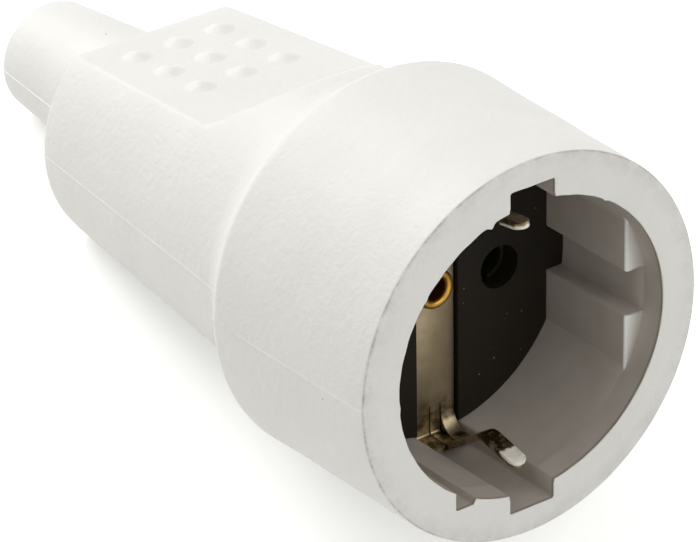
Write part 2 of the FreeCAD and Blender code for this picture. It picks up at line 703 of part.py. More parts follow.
# Screws and nuts: each group of like pieces is one compound
def slotted_screw(name, kind, under_head, x, y):
    """Cheese-head screw standing upright, its head's underside at a height."""
    head_top = f"({under_head} + sizes.{kind}_head_height)"
    head = peg(f"{name}_head", f"sizes.{kind}_head_radius", under_head, head_top, x, y)
    shank = peg(f"{name}_shank", f"sizes.{kind}_thread_radius", f"{under_head} - sizes.{kind}_screw_length",
                under_head, x, y)
    half = "(sizes.screw_slot_width / 2)"
    wide = f"(2 * sizes.{kind}_head_radius)"
    slot = block(f"{name}_slot", (f"{x} - {wide}", f"{x} + {wide}"), (f"{y} - {half}", f"{y} + {half}"),
                 (f"{head_top} - sizes.screw_slot_depth", f"{head_top} + {CUT_OVER}"))
    return cut(name, fuse(f"{name}_blank", [head, shank]), [slot])


def group(name, things):
    thing = doc.addObject("Part::Compound", name)
    thing.Links = things
    return thing


def make_terminal_screws():
    contact_seat = "(sizes.pillar_radius + sizes.terminal_screw_lift)"
    screws = [slotted_screw(f"{side}_terminal_screw", "terminal", contact_seat, f"({sign} * {HALF_PITCH})",
                            TERMINAL_PLACE) for side, sign in SIDES]
    screws.append(slotted_screw("earth_terminal_screw", "terminal", WASHER_TOP, "0", EARTH_TERMINAL_PLACE))
    return group("terminal_screws", screws)


def make_clamp_screws():
    bar_top = f"({POST_TOP} + sizes.bar_thickness)"
    return group("cord_clamp_screws", [
        slotted_screw(f"{side}_clamp_screw", "clamp", bar_top, f"({sign} * {HALF_POSTS})", CLAMP_PLACE)
        for side, sign in SIDES])


def make_clamp_nuts():
    half = "(sizes.nut_width / 2)"
    nuts = []
    for side, sign in SIDES:
        middle = f"({sign} * {HALF_POSTS})"
        top = f"({TAIL_UNDERSIDE} + sizes.nut_thickness)"
        nut = block(f"{side}_nut_blank", (f"{middle} - {half}", f"{middle} + {half}"),
                    (f"{CLAMP_PLACE} - {half}", f"{CLAMP_PLACE} + {half}"), (TAIL_UNDERSIDE, top))
        hole = peg(f"{side}_nut_hole", "sizes.clamp_thread_radius + sizes.fit_gap",
                   f"{TAIL_UNDERSIDE} - {CUT_OVER}", f"{top} + {CUT_OVER}", middle, CLAMP_PLACE)
        nuts.append(cut(f"{side}_nut", nut, [hole]))
    return group("cord_clamp_nuts", nuts)


def make_clamp_bar():
    """Moulded bar over the cord, with a gripping ridge below."""
    half = f"({HALF_POSTS} + sizes.bar_overhang)"
    half_width = "(sizes.bar_width / 2)"
    half_ridge = "(sizes.ridge_width / 2)"
    top = f"({POST_TOP} + sizes.bar_thickness)"
    bar = block("bar_blank", (f"-{half}", half),
                (f"{CLAMP_PLACE} - {half_width}", f"{CLAMP_PLACE} + {half_width}"), (POST_TOP, top))
    ridge = block("bar_ridge", ("-sizes.ridge_length / 2", "sizes.ridge_length / 2"),
                  (f"{CLAMP_PLACE} - {half_ridge}", f"{CLAMP_PLACE} + {half_ridge}"),
                  (f"{POST_TOP} - sizes.ridge_height", f"{POST_TOP} + sizes.ridge_height"))
    holes = [peg(f"{side}_bar_hole", "sizes.clamp_thread_radius + sizes.carrier_gap",
                 f"{POST_TOP} - {CUT_OVER}", f"{top} + {CUT_OVER}", f"{sign} * {HALF_POSTS}", CLAMP_PLACE)
             for side, sign in SIDES]
    return cut("cord_clamp_bar", fuse("bar_moulding", [bar, ridge]), holes)


# Rest placement: the socket lies on the back edge of its cup and the end of its neck
def lay_down(pieces, housing, tilt):
    """Give every piece the rest placement, on top of its own place across the socket."""
    turn = Placement(Vector(), Rotation(Vector(1, 0, 0), -tilt))
    box = housing.Shape.transformed(turn.toMatrix(), True).optimalBoundingBox(False, False)
    shift = Placement(Vector(-box.Center.x, -box.Center.y, -box.ZMin), UPRIGHT)
    for piece in pieces:
        piece.Placement = shift.multiply(turn).multiply(piece.Placement)


def beside(piece, sign):
    """Move a contact's piece from the axis to its own pin hole."""
    piece.Placement = Placement(Vector(sign * size("pin_pitch") / 2, 0, 0), Rotation())
    return piece


housing, tilt = make_housing()
pieces = [
    housing,
    make_carrier(),
    beside(make_contact("line_contact"), -1),
    beside(make_contact("neutral_contact"), 1),
    make_earth_strap(),
    make_eyelet(),
    make_earth_lug(),
    make_washer(),
    make_terminal_screws(),
    make_clamp_bar(),
    make_clamp_screws(),
    make_clamp_nuts(),
]
doc.recompute()
lay_down(pieces, housing, tilt)
doc.recompute()

for item in doc.Objects:
    if "Invalid" in item.State or "Error" in item.State:
        raise RuntimeError(f"{item.Name} did not build: {item.State}")
for piece in pieces:
    piece.Label = piece.Name
    if piece.Shape.isNull() or not piece.Shape.isValid() or not piece.Shape.Solids:
        raise RuntimeError(f"{piece.Label} has no sound solid")

os.makedirs("parts", exist_ok=True)
for piece in pieces:
    piece.Shape.exportStep(f"parts/{piece.Label}.step")
    print(piece.Label, len(piece.Shape.Solids), "solids", round(piece.Shape.Volume, 1), "mm3")
print("rest tilt", round(tilt, 4), "degrees; placement", housing.Placement.Base)
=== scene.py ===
import json
import math

import bmesh
import bpy
import numpy as np
from mathutils import Matrix, Vector


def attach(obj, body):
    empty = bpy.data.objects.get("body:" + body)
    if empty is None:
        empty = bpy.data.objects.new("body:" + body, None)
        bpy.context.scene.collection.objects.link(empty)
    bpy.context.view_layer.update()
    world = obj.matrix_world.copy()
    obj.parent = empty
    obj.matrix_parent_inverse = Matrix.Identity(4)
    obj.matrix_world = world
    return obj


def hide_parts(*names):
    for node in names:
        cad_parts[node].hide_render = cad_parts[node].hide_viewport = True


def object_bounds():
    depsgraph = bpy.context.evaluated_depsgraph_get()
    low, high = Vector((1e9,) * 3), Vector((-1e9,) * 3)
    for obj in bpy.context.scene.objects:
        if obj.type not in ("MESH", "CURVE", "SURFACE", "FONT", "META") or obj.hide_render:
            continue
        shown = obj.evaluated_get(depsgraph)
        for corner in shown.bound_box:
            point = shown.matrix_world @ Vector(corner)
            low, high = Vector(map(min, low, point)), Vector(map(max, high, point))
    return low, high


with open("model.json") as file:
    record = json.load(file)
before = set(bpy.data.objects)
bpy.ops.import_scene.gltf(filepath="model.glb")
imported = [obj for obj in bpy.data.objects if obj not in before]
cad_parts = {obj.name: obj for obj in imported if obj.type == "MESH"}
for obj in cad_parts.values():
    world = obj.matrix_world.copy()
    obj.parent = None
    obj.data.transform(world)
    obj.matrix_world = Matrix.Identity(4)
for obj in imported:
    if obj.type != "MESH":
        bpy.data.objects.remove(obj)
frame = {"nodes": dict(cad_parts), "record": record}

cad_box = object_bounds()

# Housing: one soft white moulding that holds everything else. The cup, the tapered grip with its two
# studded flats and the cord's neck are a single shot of flexible PVC, pulled off a core that left the
# ribbed recess, so all its edges are a little round and a fine flash line runs along both sides.
RECESS_DEPTH, SEAT_DEPTH = 18.3, 26.3
CUP_LENGTH, RAMP_END, GRIP_LENGTH, OVERALL = 28.8, 33.5, 77.2, 100.8
RIM_FACE, RIM_RADIUS, CUP_BACK_RADIUS = 0.04, 24.94, 25.5
GRIP_FRONT, GRIP_BACK, NECK_ROOT, NECK_END = 21.1, 16.9, 9.7, 7.4
RIM_EDGE, CUP_BACK_EDGE, RAMP_HOLLOW, GRIP_EDGE = 0.4, 1.7, 8.0, 0.6
NECK_EDGE, NECK_ROOT_EDGE, INLET_EDGE = 1.2, 0.5, 0.4
FLAT_FRONT, FLAT_BACK, FLAT_PLACE, FLAT_EDGE, SLOPE_BLEND = 14.9, 12.25, 46.5, 0.25, 0.5
RUN_OUT = math.tan(math.radians(37.0))
BORE, SLOT_HALF, SLOT_REACH = 19.5, 3.3, 21.5
RIB_FLAT, RIB_FRONT, RIB_EDGE, CHANNEL_HALF = 16.9, 3.45, 0.3, 2.95
INNER_CORNER, OUTER_CORNER, SLOT_CORNER = 0.2, 0.35, 0.3
KEYWAY = [(-11.4, -15.82, 0.2), (-11.4, -18.0, 0.25), (-8.8, -18.0), (-8.5, -17.55)]
KEYWAY_START, KEYWAY_END = 233.0, 245.5
GRIP_WALL, CAVITY_END, INLET = 3.5, 74.0, 5.0
MOUTH_EDGE, OVAL, OVAL_SHIFT = 0.16, 0.27, 0.15
BURRS = ((56.0, 0.12, 0.8), (108.5, 0.5, 1.3), (143.0, 0.1, 1.0), (183.5, 0.2, 2.2))
FLASH_HEIGHT, FLASH_HALF_ANGLE = 0.11, 0.3
WAVINESS, WAVE_FROM_RIM, WAVE_FROM_BACK = 0.06, 3.0, 4.0
# Grime levels: 1 is the recess's brown film, partly dirt and partly painted shade; above 1 is the mouth's
# dark edge line, partly caked dirt and partly painted shadow; the inlet's levels draw it darker towards the
# hole
CAKED_DIRT_AND_SHADOW, RECESS_DIRT_AND_SHADE, RIB_EDGE_DIRT_AND_SHADE, INLET_DARKENING, NECK_END_DARKENING = 1.7, 1.0, 0.9, 0.8, 0.6
RIM_EDGE_SMEAR, RIM_FACE_SMEAR, MOUTH_SMEAR = 0.6, 0.02, 0.03

recess = next(m for m in frame["record"]["mounts"] if m["name"] == "plug_recess")
rearward = -Vector(recess["axis"])
across = Vector((1, 0, 0))
upward = across.cross(rearward)
rim_centre = Vector(recess["pos_m"]) - rearward * RECESS_DEPTH / 1000
socket_axes = Matrix((across, rearward, upward)).transposed()
half_width = min(-cad_box[0][0], cad_box[1][0]) * 1000


def placed(points):
    """Points on the socket's own axes in millimetres, put where the socket lies, in metres."""
    return np.asarray(points, float) / 1000 @ np.array(socket_axes).T + np.array(rim_centre)


def rounded(corners, steps=4):
    """Open line through corners of two coordinates and a radius, with an arc at each that has one."""
    nearly_straight = 1.5
    points = [np.array(c[:2], float) for c in corners]
    line = [points[0]]
    for k in range(1, len(corners) - 1):
        radius = corners[k][2] if len(corners[k]) > 2 else 0
        back = points[k - 1] - points[k]
        onward = points[k + 1] - points[k]
        back, onward = back / np.linalg.norm(back), onward / np.linalg.norm(onward)
        half = math.acos(np.clip(back @ onward, -1, 1)) / 2
        if not radius or half > nearly_straight:
            line.append(points[k])
            continue
        middle = back + onward
        centre = points[k] + middle / np.linalg.norm(middle) * radius / math.sin(half)
        first = points[k] + back * radius / math.tan(half) - centre
        last = points[k] + onward * radius / math.tan(half) - centre
        sweep = math.pi - 2 * half
        for step in range(steps + 1):
            turn = step / steps * sweep
            line.append(centre + (math.sin(sweep - turn) * first + math.sin(turn) * last) / math.sin(sweep))
    line.append(points[-1])
    return np.array(line)


# The recess in section: bore, four ribs that leave a channel at each side, slots above and below, keyway
ARC_STEP = 2.5


def bore_arc(start, end):
    """Corners along the bore from one angle to another."""
    return [(BORE * math.cos(math.radians(a)), BORE * math.sin(math.radians(a)))
            for a in np.linspace(start, end, max(2, round(abs(end - start) / ARC_STEP)))]


rib_end = math.degrees(math.acos(RIB_FLAT / BORE))
channel = math.degrees(math.asin(CHANNEL_HALF / BORE))
slot_start = math.degrees(math.acos(SLOT_HALF / BORE))
quarter = [(BORE * math.cos(math.radians(channel)), CHANNEL_HALF, INNER_CORNER),
           (RIB_FLAT, CHANNEL_HALF, OUTER_CORNER),
           (RIB_FLAT, BORE * math.sin(math.radians(rib_end)), INNER_CORNER),
           *bore_arc(rib_end + ARC_STEP, slot_start - ARC_STEP),
           (SLOT_HALF, BORE * math.sin(math.radians(slot_start)), OUTER_CORNER),
           (SLOT_HALF, SLOT_REACH, SLOT_CORNER)]
mirror = lambda corners, x, z: [(x * c[0], z * c[1], *c[2:]) for c in corners]
angle_of = lambda c: math.degrees(math.atan2(c[1], c[0])) % 360
lower_left = mirror(quarter, -1, -1)
keyed = ([c for c in lower_left if angle_of(c) < KEYWAY_START] + KEYWAY
         + [c for c in lower_left if angle_of(c) > KEYWAY_END])
section = rounded([(BORE, 0.0), *quarter, *mirror(quarter, -1, 1)[::-1], (-BORE, 0.0), *keyed,
                   *mirror(quarter, 1, -1)[::-1], (BORE, 0.0)])
section_angles = np.degrees(np.arctan2(section[:, 1], section[:, 0])) % 360
section_angles[-1] = 360.0
if np.any(np.diff(section_angles) <= 0):
    raise ValueError("the recess's section turns back on itself")

# Angles of the lengthwise lines: the section's own corners, the flats and their edges, the flash lines
FLAT_EDGE_ANGLES, LEAST_GAP = (47.5, 132.5, 227.5, 312.5), 0.3
wanted = [np.arange(0, 360, 2.0)]
for edge in FLAT_EDGE_ANGLES:
    wanted.append(np.arange(edge - 3, edge + 3.1, 0.5))
for side in (0.0, 180.0):
    wanted.append((side + FLASH_HALF_ANGLE * np.array([-2, -1, 0, 1, 2])) % 360)
for middle, _, half in BURRS:
    wanted.append(middle + half * np.linspace(-2, 2, 9))
angles = list(section_angles[:-1])
for angle in np.concatenate(wanted):
    gaps = np.abs((np.array(angles) - angle + 180) % 360 - 180)
    if gaps.min() > LEAST_GAP:
        angles.append(angle)
angles = np.sort(np.array(angles))
turn = np.radians(angles)
cosine, sine = np.cos(turn), np.sin(turn)
steep = np.maximum(np.abs(sine), 1e-3)
after = np.clip(np.searchsorted(section_angles, angles, side="right"), 1, len(section) - 1)
start, end = section[after - 1], section[after]
run = end - start
section_radius = ((start[:, 0] * run[:, 1] - start[:, 1] * run[:, 0])
                  / (cosine * run[:, 1] - sine * run[:, 0]))
off_side = np.abs((angles + 90) % 180 - 90)
flash = FLASH_HEIGHT * np.exp(-(off_side / FLASH_HALF_ANGLE) ** 2)

# The soft mouth has gone a little oval, which dies out down to the carrier, and its edge has a few burrs
NOTCH_STEP, CORNER_STEP, RIB_STEP, CHANNEL_MARGIN = 0.02, 0.12, 0.25, 1.0
oval = BORE + OVAL_SHIFT * cosine + OVAL * np.cos(2 * turn)
notched = section_radius > BORE + NOTCH_STEP
on_rib = np.abs(section_radius * np.abs(cosine) - RIB_FLAT) < RIB_STEP
plain = (section_radius > BORE - CORNER_STEP) & ~notched
beyond_channel = np.abs(sine) * BORE > CHANNEL_HALF + CHANNEL_MARGIN
rib_line = np.where(beyond_channel, RIB_FLAT / np.maximum(np.abs(cosine), 0.5), 2 * BORE)
front_radius = np.where(notched, section_radius, oval)
drawn_radius = np.where(plain, np.minimum(oval, rib_line), section_radius)
burr = sum(size * np.exp(-((angles - middle) / half) ** 2) for middle, size, half in BURRS) * ~notched


def soft_least(a, b, blend):
    """The lesser of two sizes, rounded off where they come within the blend of each other."""
    overlap = np.maximum(blend - np.abs(a - b), 0) / blend
    return np.minimum(a, b) - overlap ** 2 * blend / 4


def flat_line(depth):
    """Height of the upper flat above the axis, carried on past its ends."""
    return FLAT_BACK + (FLAT_FRONT - FLAT_BACK) * (GRIP_LENGTH - depth) / (GRIP_LENGTH - FLAT_PLACE)


def flat_height(depth):
    """Height of the upper flat above the axis, with its sloping front end."""
    slope = FLAT_FRONT + RUN_OUT * (FLAT_PLACE - depth)
    return -soft_least(-flat_line(depth), -slope, SLOPE_BLEND)


def cone_radius(depth):
    return GRIP_BACK + (GRIP_FRONT - GRIP_BACK) * (GRIP_LENGTH - depth) / (GRIP_LENGTH - RAMP_END)


rings, grime_and_shade, smears = [], [], []


def ring(radius, depth, dirt_and_shade=0.0, smear=0.0):
    """Add one ring of points, with its dirt and painted shade and the smears on it."""
    radius = np.broadcast_to(radius, angles.shape)
    rings.append(np.stack([radius * cosine, np.broadcast_to(depth, angles.shape), radius * sine], axis=1))
    grime_and_shade.append(np.broadcast_to(dirt_and_shade, angles.shape))
    smears.append(np.broadcast_to(smear, angles.shape))


def outer_ring(radius, depth, inset=0.0, smear=0.0):
    """Outside of the housing at a depth: a circle cut by the flats, with the flash lines at both sides."""
    out = soft_least(radius - inset, (flat_height(depth) - inset) / steep, FLAT_EDGE)
    sunk = WAVINESS * (1 + np.sin(5 * turn + 0.21 * depth) * np.sin(3 * turn - 0.37 * depth + 1.0))
    on_cup = np.clip(min(depth / WAVE_FROM_RIM, (CUP_LENGTH - depth) / WAVE_FROM_BACK), 0, 1)
    ring(np.minimum(out - sunk * on_cup + flash, half_width), depth, 0.0, smear)


quarter_turn = np.radians(np.linspace(0, 90, 6))
# Neck's end, from the inlet's edge round to the outside
# Drawn darker going into the inlet
for a in quarter_turn:
    ring(INLET + INLET_EDGE * (1 - math.cos(a)), OVERALL - INLET_EDGE * (1 - math.sin(a)),
         NECK_END_DARKENING * math.cos(a))
NECK_GAP, NECK_FOOT = 3.0, 0.6
neck = rounded([(OVERALL, INLET + INLET_EDGE), (OVERALL, NECK_END, NECK_EDGE),
                (GRIP_LENGTH, NECK_ROOT, NECK_ROOT_EDGE), (GRIP_LENGTH, GRIP_BACK - 3.0)], 6)
neck_line = [neck[1]]
for point in neck[2:]:
    count = max(1, round((neck_line[-1][0] - point[0]) / NECK_GAP))
    neck_line += [neck_line[-1] + (point - neck_line[-1]) * k / count for k in range(1, count + 1)]
for depth, radius in neck_line[:-1]:
    ring(radius + (flash if depth > GRIP_LENGTH + NECK_FOOT else 0), depth)
# Grip's back edge
for a in quarter_turn:
    outer_ring(GRIP_BACK, GRIP_LENGTH - GRIP_EDGE * (1 - math.cos(a)), GRIP_EDGE * (1 - math.sin(a)))
# Grip, with closer rings where the flats run out, then ramp, cup and rim
RAMP_APPROACH, FRONT_GAP = 37.0, 3.2
for depth in (*np.arange(75.6, 47.6, -2.0), *np.arange(47.2, 38.3, -0.36), 37.4):
    outer_ring(cone_radius(depth), depth)
front_profile = rounded([(RAMP_APPROACH, cone_radius(RAMP_APPROACH)), (RAMP_END, GRIP_FRONT, RAMP_HOLLOW),
                         (CUP_LENGTH, CUP_BACK_RADIUS, CUP_BACK_EDGE), (RIM_FACE, RIM_RADIUS, RIM_EDGE),
                         (RIM_FACE, RIM_RADIUS - 2.0)], 9)
front_line = [front_profile[0]]
for point in front_profile[1:-1]:
    count = max(1, round(np.linalg.norm(point - front_line[-1]) / FRONT_GAP))
    front_line += [front_line[-1] + (point - front_line[-1]) * k / count for k in range(1, count + 1)]
for depth, radius in front_line:
    on_edge = math.exp(-((depth - 0.16) / 0.1) ** 2)
    outer_ring(radius, depth, 0.0, RIM_EDGE_SMEAR * on_edge + (RIM_FACE_SMEAR if depth < 0.06 else 0.0))
# Rim's face and the mouth's edge, which is a little ragged from the mould
ragged = MOUTH_EDGE * (1 + 0.4 * np.sin(7 * turn + 1.0) * np.sin(17 * turn) + 0.3 * np.sin(41 * turn + 2.0))
ring((front_radius + MOUTH_EDGE + RIM_RADIUS - RIM_EDGE) / 2, RIM_FACE, 0.0, RIM_FACE_SMEAR)
# The mouth's edge turns dark brown going in: partly caked dirt, partly a painted shadow of the edge
for a in quarter_turn:
    ring(front_radius - burr + ragged * (1 - math.sin(a)), RIM_FACE + ragged * (1 - math.cos(a)),
         CAKED_DIRT_AND_SHADOW * math.sin(a) ** 4, MOUTH_SMEAR)
# Recess: plain bore in front, then the ribs, whose front faces and edges are left clean, partly rubbed by the
# plugs and partly painted highlight on their lit faces and edges
rib_fronts_clean_and_lit = np.where(on_rib, 0.0, RECESS_DIRT_AND_SHADE)
# Dark brown just inside the mouth: caked dirt and the edge's painted shadow
ring(front_radius, 0.3, CAKED_DIRT_AND_SHADOW)
for depth in (0.6, 1.4, 2.4, RIB_FRONT - 0.04):
    ring(front_radius, depth, RECESS_DIRT_AND_SHADE)
ring(front_radius, RIB_FRONT - 0.02, RIB_EDGE_DIRT_AND_SHADE)
for a in quarter_turn[:-1]:
    ring(np.minimum(front_radius, drawn_radius + RIB_EDGE * (1 - math.sin(a))),
         RIB_FRONT + RIB_EDGE * (1 - math.cos(a)), rib_fronts_clean_and_lit)
OVAL_END = RECESS_DEPTH - 0.5
# The recess's brown film, partly handling dirt and partly painted shade
for depth in (3.85, 6.0, 8.0, 10.5, 13.0, 15.5, OVAL_END, SEAT_DEPTH):
    left = max(0.0, 1 - depth / OVAL_END)
    ring(section_radius + (drawn_radius - section_radius) * left, depth, RECESS_DIRT_AND_SHADE)
# Wiring space and inlet
for depth in (SEAT_DEPTH, 36.0, 46.0, 56.0, 66.0, CAVITY_END):
    hollow = np.minimum(cone_radius(depth) - GRIP_WALL, (flat_line(depth) - GRIP_WALL) / steep)
    ring(hollow, depth, RECESS_DIRT_AND_SHADE)
# The inlet's bore is drawn darker
for depth in (CAVITY_END, 82.0, 91.0, 98.0):
    ring(INLET, depth, INLET_DARKENING)

points = placed(np.concatenate(rings))
points[:, 2] = np.maximum(points[:, 2], 0.0)
index = np.arange(len(points)).reshape(len(rings), len(angles))
onward, beside = np.roll(index, -1, axis=0), np.roll(index, -1, axis=1)
faces = np.stack([index, beside, np.roll(onward, -1, axis=1), onward], axis=-1).reshape(-1, 4)


def mesh_piece(name, points, faces):
    """New object at the origin from points in metres and faces that point outwards."""
    mesh = bpy.data.meshes.new(name)
    mesh.from_pydata(np.asarray(points).tolist(), [], [[int(k) for k in face] for face in faces])
    mesh.update()
    piece = bpy.data.objects.new(name, mesh)
    bpy.context.scene.collection.objects.link(piece)
    return piece


housing = mesh_piece("moulded_housing", points, faces)
housing.data.shade_smooth()
housing.data.set_sharp_from_angle(angle=math.radians(38))
for name, values in (("grime_and_shade", grime_and_shade), ("smear", smears)):
    housing.data.attributes.new(name, "FLOAT", "POINT").data.foreach_set(
        "value", np.concatenate(values).astype(np.float32))


def linear(hex_colour):
    """Linear RGBA from an sRGB hex colour."""
    parts = [int(hex_colour[k:k + 2], 16) / 255 for k in (1, 3, 5)]
    return (*[c / 12.92 if c <= 0.04045 else ((c + 0.055) / 1.055) ** 2.4 for c in parts], 1.0)


def node(tree, kind, inputs=None, **settings):
    """Add a node with its settings, and give its inputs constants or links."""
    made = tree.nodes.new(kind)
    for name, value in settings.items():
        setattr(made, name, value)
    for name, value in (inputs or {}).items():
        if isinstance(value, bpy.types.NodeSocket):
            tree.links.new(value, made.inputs[name])
        else:
            made.inputs[name].default_value = value
    return made


def per_metre(millimetres):
    """Texture scale whose pattern repeats about once in this length."""
    return 1000 / millimetres


def start_material(name):
    """New empty material, its tree and the Object coordinates that its patterns read."""
    material = bpy.data.materials.new(name)
    material.use_nodes = True
    material.node_tree.nodes.clear()
    return material, material.node_tree, node(material.node_tree, "ShaderNodeTexCoord").outputs["Object"]


# Flexible PVC from a satin-etched mould: off-white, a soft broad gloss, a faint mottle and a few dust
# specks, a brown film inside the recess that is partly handling dirt and partly painted shade, and a dark
# line at the mouth's edge that is partly caked dirt and partly a painted shadow of the edge. The etch's
# own grain is too fine to show, so it is drawn about a millimetre wide.
soft_pvc, tree, place = start_material("flexible PVC, satin moulded")
mottle = node(tree, "ShaderNodeTexNoise", {"Vector": place, "Scale": per_metre(9.0), "Detail": 4.0})
clean = node(tree, "ShaderNodeMix", {0: mottle.outputs["Fac"], 6: linear("#F1F0EB"), 7: linear("#E9E8E2")},
             data_type="RGBA")
film = node(tree, "ShaderNodeTexNoise", {"Vector": place, "Scale": per_metre(3.5), "Detail": 6.0})
dirt_and_shade_tone = node(tree, "ShaderNodeMix", {0: film.outputs["Fac"], 6: linear("#C6BFB7"), 7: linear("#B2A9A0")},
             data_type="RGBA")
inside = node(tree, "ShaderNodeAttribute", attribute_name="grime_and_shade")
# Brown film mixed in by the grime level: handling dirt and painted shade inside the recess
filmed_and_shaded = node(tree, "ShaderNodeMix", {0: inside.outputs["Fac"], 6: clean.outputs[2], 7: dirt_and_shade_tone.outputs[2]},
              data_type="RGBA")
# Above 1 the level turns dark brown: caked dirt and the painted shadow of the mouth's edge
caked_and_shadow = node(tree, "ShaderNodeMapRange", {"Value": inside.outputs["Fac"], "From Min": 1.0, "From Max": 2.0,
                                          "To Min": 0.0, "To Max": 0.75})
edged = node(tree, "ShaderNodeMix", {0: caked_and_shadow.outputs["Result"], 6: filmed_and_shaded.outputs[2], 7: linear("#6B5840")},
             data_type="RGBA")
handled = node(tree, "ShaderNodeAttribute", attribute_name="smear")
scuff = node(tree, "ShaderNodeTexNoise", {"Vector": place, "Scale": per_metre(2.6), "Detail": 6.0,
                                          "Roughness": 0.7})
scuffed = node(tree, "ShaderNodeMapRange", {"Value": scuff.outputs["Fac"], "From Min": 0.36, "From Max": 0.6})
rubbed_in = node(tree, "ShaderNodeMath", {0: handled.outputs["Fac"], 1: scuffed.outputs["Result"]},
                 operation="MULTIPLY")
smeared = node(tree, "ShaderNodeMix", {0: rubbed_in.outputs[0], 6: edged.outputs[2], 7: linear("#8A6F50")},
               data_type="RGBA")
cell = node(tree, "ShaderNodeTexVoronoi", {"Vector": place, "Scale": per_metre(5.0)})
speck_size = node(tree, "ShaderNodeSeparateColor", {"Color": cell.outputs["Color"]})
speck_reach = node(tree, "ShaderNodeMapRange", {"Value": speck_size.outputs["Red"], "From Min": 0.55,
                                                "From Max": 1.0, "To Min": 0.0, "To Max": 0.045})
speck = node(tree, "ShaderNodeMath", {0: cell.outputs["Distance"], 1: speck_reach.outputs["Result"]},
             operation="LESS_THAN")
specked = node(tree, "ShaderNodeMix", {0: speck.outputs[0], 6: smeared.outputs[2], 7: linear("#4A443C")},
               data_type="RGBA")
etch = node(tree, "ShaderNodeTexNoise", {"Vector": place, "Scale": per_metre(1.1), "Detail": 4.0,
                                         "Roughness": 0.6})
sheen = node(tree, "ShaderNodeMapRange", {"Value": mottle.outputs["Fac"], "To Min": 0.42, "To Max": 0.56})
peel = node(tree, "ShaderNodeMapRange", {"Value": inside.outputs["Fac"], "To Min": 0.6, "To Max": 0.1})
grain = node(tree, "ShaderNodeBump", {"Height": etch.outputs["Fac"], "Strength": peel.outputs["Result"],
                                      "Distance": 0.0002})
shader = node(tree, "ShaderNodeBsdfPrincipled", {
    "Base Color": specked.outputs[2], "Roughness": sheen.outputs["Result"],
    "Normal": grain.outputs["Normal"], "IOR": 1.53})
node(tree, "ShaderNodeOutputMaterial", {"Surface": shader.outputs["BSDF"]})
housing.data.materials.append(soft_pvc)
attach(housing, "root")
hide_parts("housing")

# Grip studs: three by three low domes on each flat for the fingers, in one shot with the housing and of
# the same PVC. Their feet blend into the flat, as a ball-ended cutter leaves them in the mould.
STUD_RADIUS, STUD_HEIGHT, STUD_SINK = 2.4, 0.6, 0.03
STUD_ACROSS, STUD_ALONG, STUD_MIDDLE = 6.3, 6.8, 64.1


def start_tree(name, sizes):
    """New geometry tree with a base, a material and a named input for each size."""
    tree = bpy.data.node_groups.new(name, "GeometryNodeTree")
    tree.interface.new_socket("Base", in_out="INPUT", socket_type="NodeSocketGeometry")
    for size, kind in sizes.items():
        tree.interface.new_socket(size, in_out="INPUT", socket_type=f"NodeSocket{kind}")
    tree.interface.new_socket("Material", in_out="INPUT", socket_type="NodeSocketMaterial")
    tree.interface.new_socket("Result", in_out="OUTPUT", socket_type="NodeSocketGeometry")
    return tree, node(tree, "NodeGroupInput").outputs


def end_tree(tree, geometry, given):
    """Make the tree's result plain geometry with its material."""
    whole = node(tree, "GeometryNodeRealizeInstances", {"Geometry": geometry})
    finished = node(tree, "GeometryNodeSetMaterial", {"Geometry": whole.outputs[0],
                                                      "Material": given["Material"]})
    node(tree, "NodeGroupOutput", {"Result": finished.outputs[0]})


def grown(tree, base, sizes):
    """Plain mesh that a tree grows from a base on the socket's own axes, with its inputs set by name."""
    stand = bpy.data.objects.new(tree.name, base)
    bpy.context.scene.collection.objects.link(stand)
    modifier = stand.modifiers.new(tree.name, "NODES")
    modifier.node_group = tree
    for socket in tree.interface.items_tree:
        if socket.in_out == "INPUT" and socket.name in sizes:
            modifier[socket.identifier] = sizes[socket.name]
    mesh = bpy.data.meshes.new_from_object(stand.evaluated_get(bpy.context.evaluated_depsgraph_get()))
    stand.modifiers.remove(modifier)
    bpy.data.objects.remove(stand)
    return mesh


def settle(name, meshes):
    """One object at the origin from meshes on the socket's own axes in millimetres."""
    shape = bmesh.new()
    for mesh in meshes:
        shape.from_mesh(mesh)
    bmesh.ops.recalc_face_normals(shape, faces=shape.faces)
    whole = meshes[0].copy()
    shape.to_mesh(whole)
    whole.name = name
    flat = np.empty(len(whole.vertices) * 3)
    whole.vertices.foreach_get("co", flat)
    whole.vertices.foreach_set("co", placed(flat.reshape(-1, 3)).ravel())
    whole.shade_smooth()
    whole.set_sharp_from_angle(angle=math.radians(40))
    piece = bpy.data.objects.new(name, whole)
    bpy.context.scene.collection.objects.link(piece)
    return piece


tree, given = start_tree("studded flats", dict.fromkeys(
    ("Across", "Along", "Radius", "Height", "Sink", "Tilt", "Middle", "Flat"), "Float"))
twice = [node(tree, "ShaderNodeMath", {0: given[side], 1: 2.0}, operation="MULTIPLY")
         for side in ("Across", "Along")]
grid = node(tree, "GeometryNodeMeshGrid", {"Size X": twice[0].outputs[0], "Size Y": twice[1].outputs[0],
                                           "Vertices X": 3, "Vertices Y": 3})
cone = node(tree, "GeometryNodeMeshCone", {"Vertices": 32, "Side Segments": 14, "Radius Top": 0.0,
                                           "Radius Bottom": 1.0, "Depth": 1.0})
where = node(tree, "GeometryNodeInputPosition")
spot = node(tree, "ShaderNodeSeparateXYZ", {"Vector": where.outputs[0]})
swell = node(tree, "ShaderNodeMath", {0: spot.outputs["Z"], 1: math.pi}, operation="MULTIPLY")
wave = node(tree, "ShaderNodeMath", {0: swell.outputs[0]}, operation="COSINE")
dome = node(tree, "ShaderNodeMath", {0: wave.outputs[0], 1: -0.5, 2: 0.5}, operation="MULTIPLY_ADD")
rise = node(tree, "ShaderNodeCombineXYZ", {"X": spot.outputs["X"], "Y": spot.outputs["Y"],
                                           "Z": dome.outputs[0]})
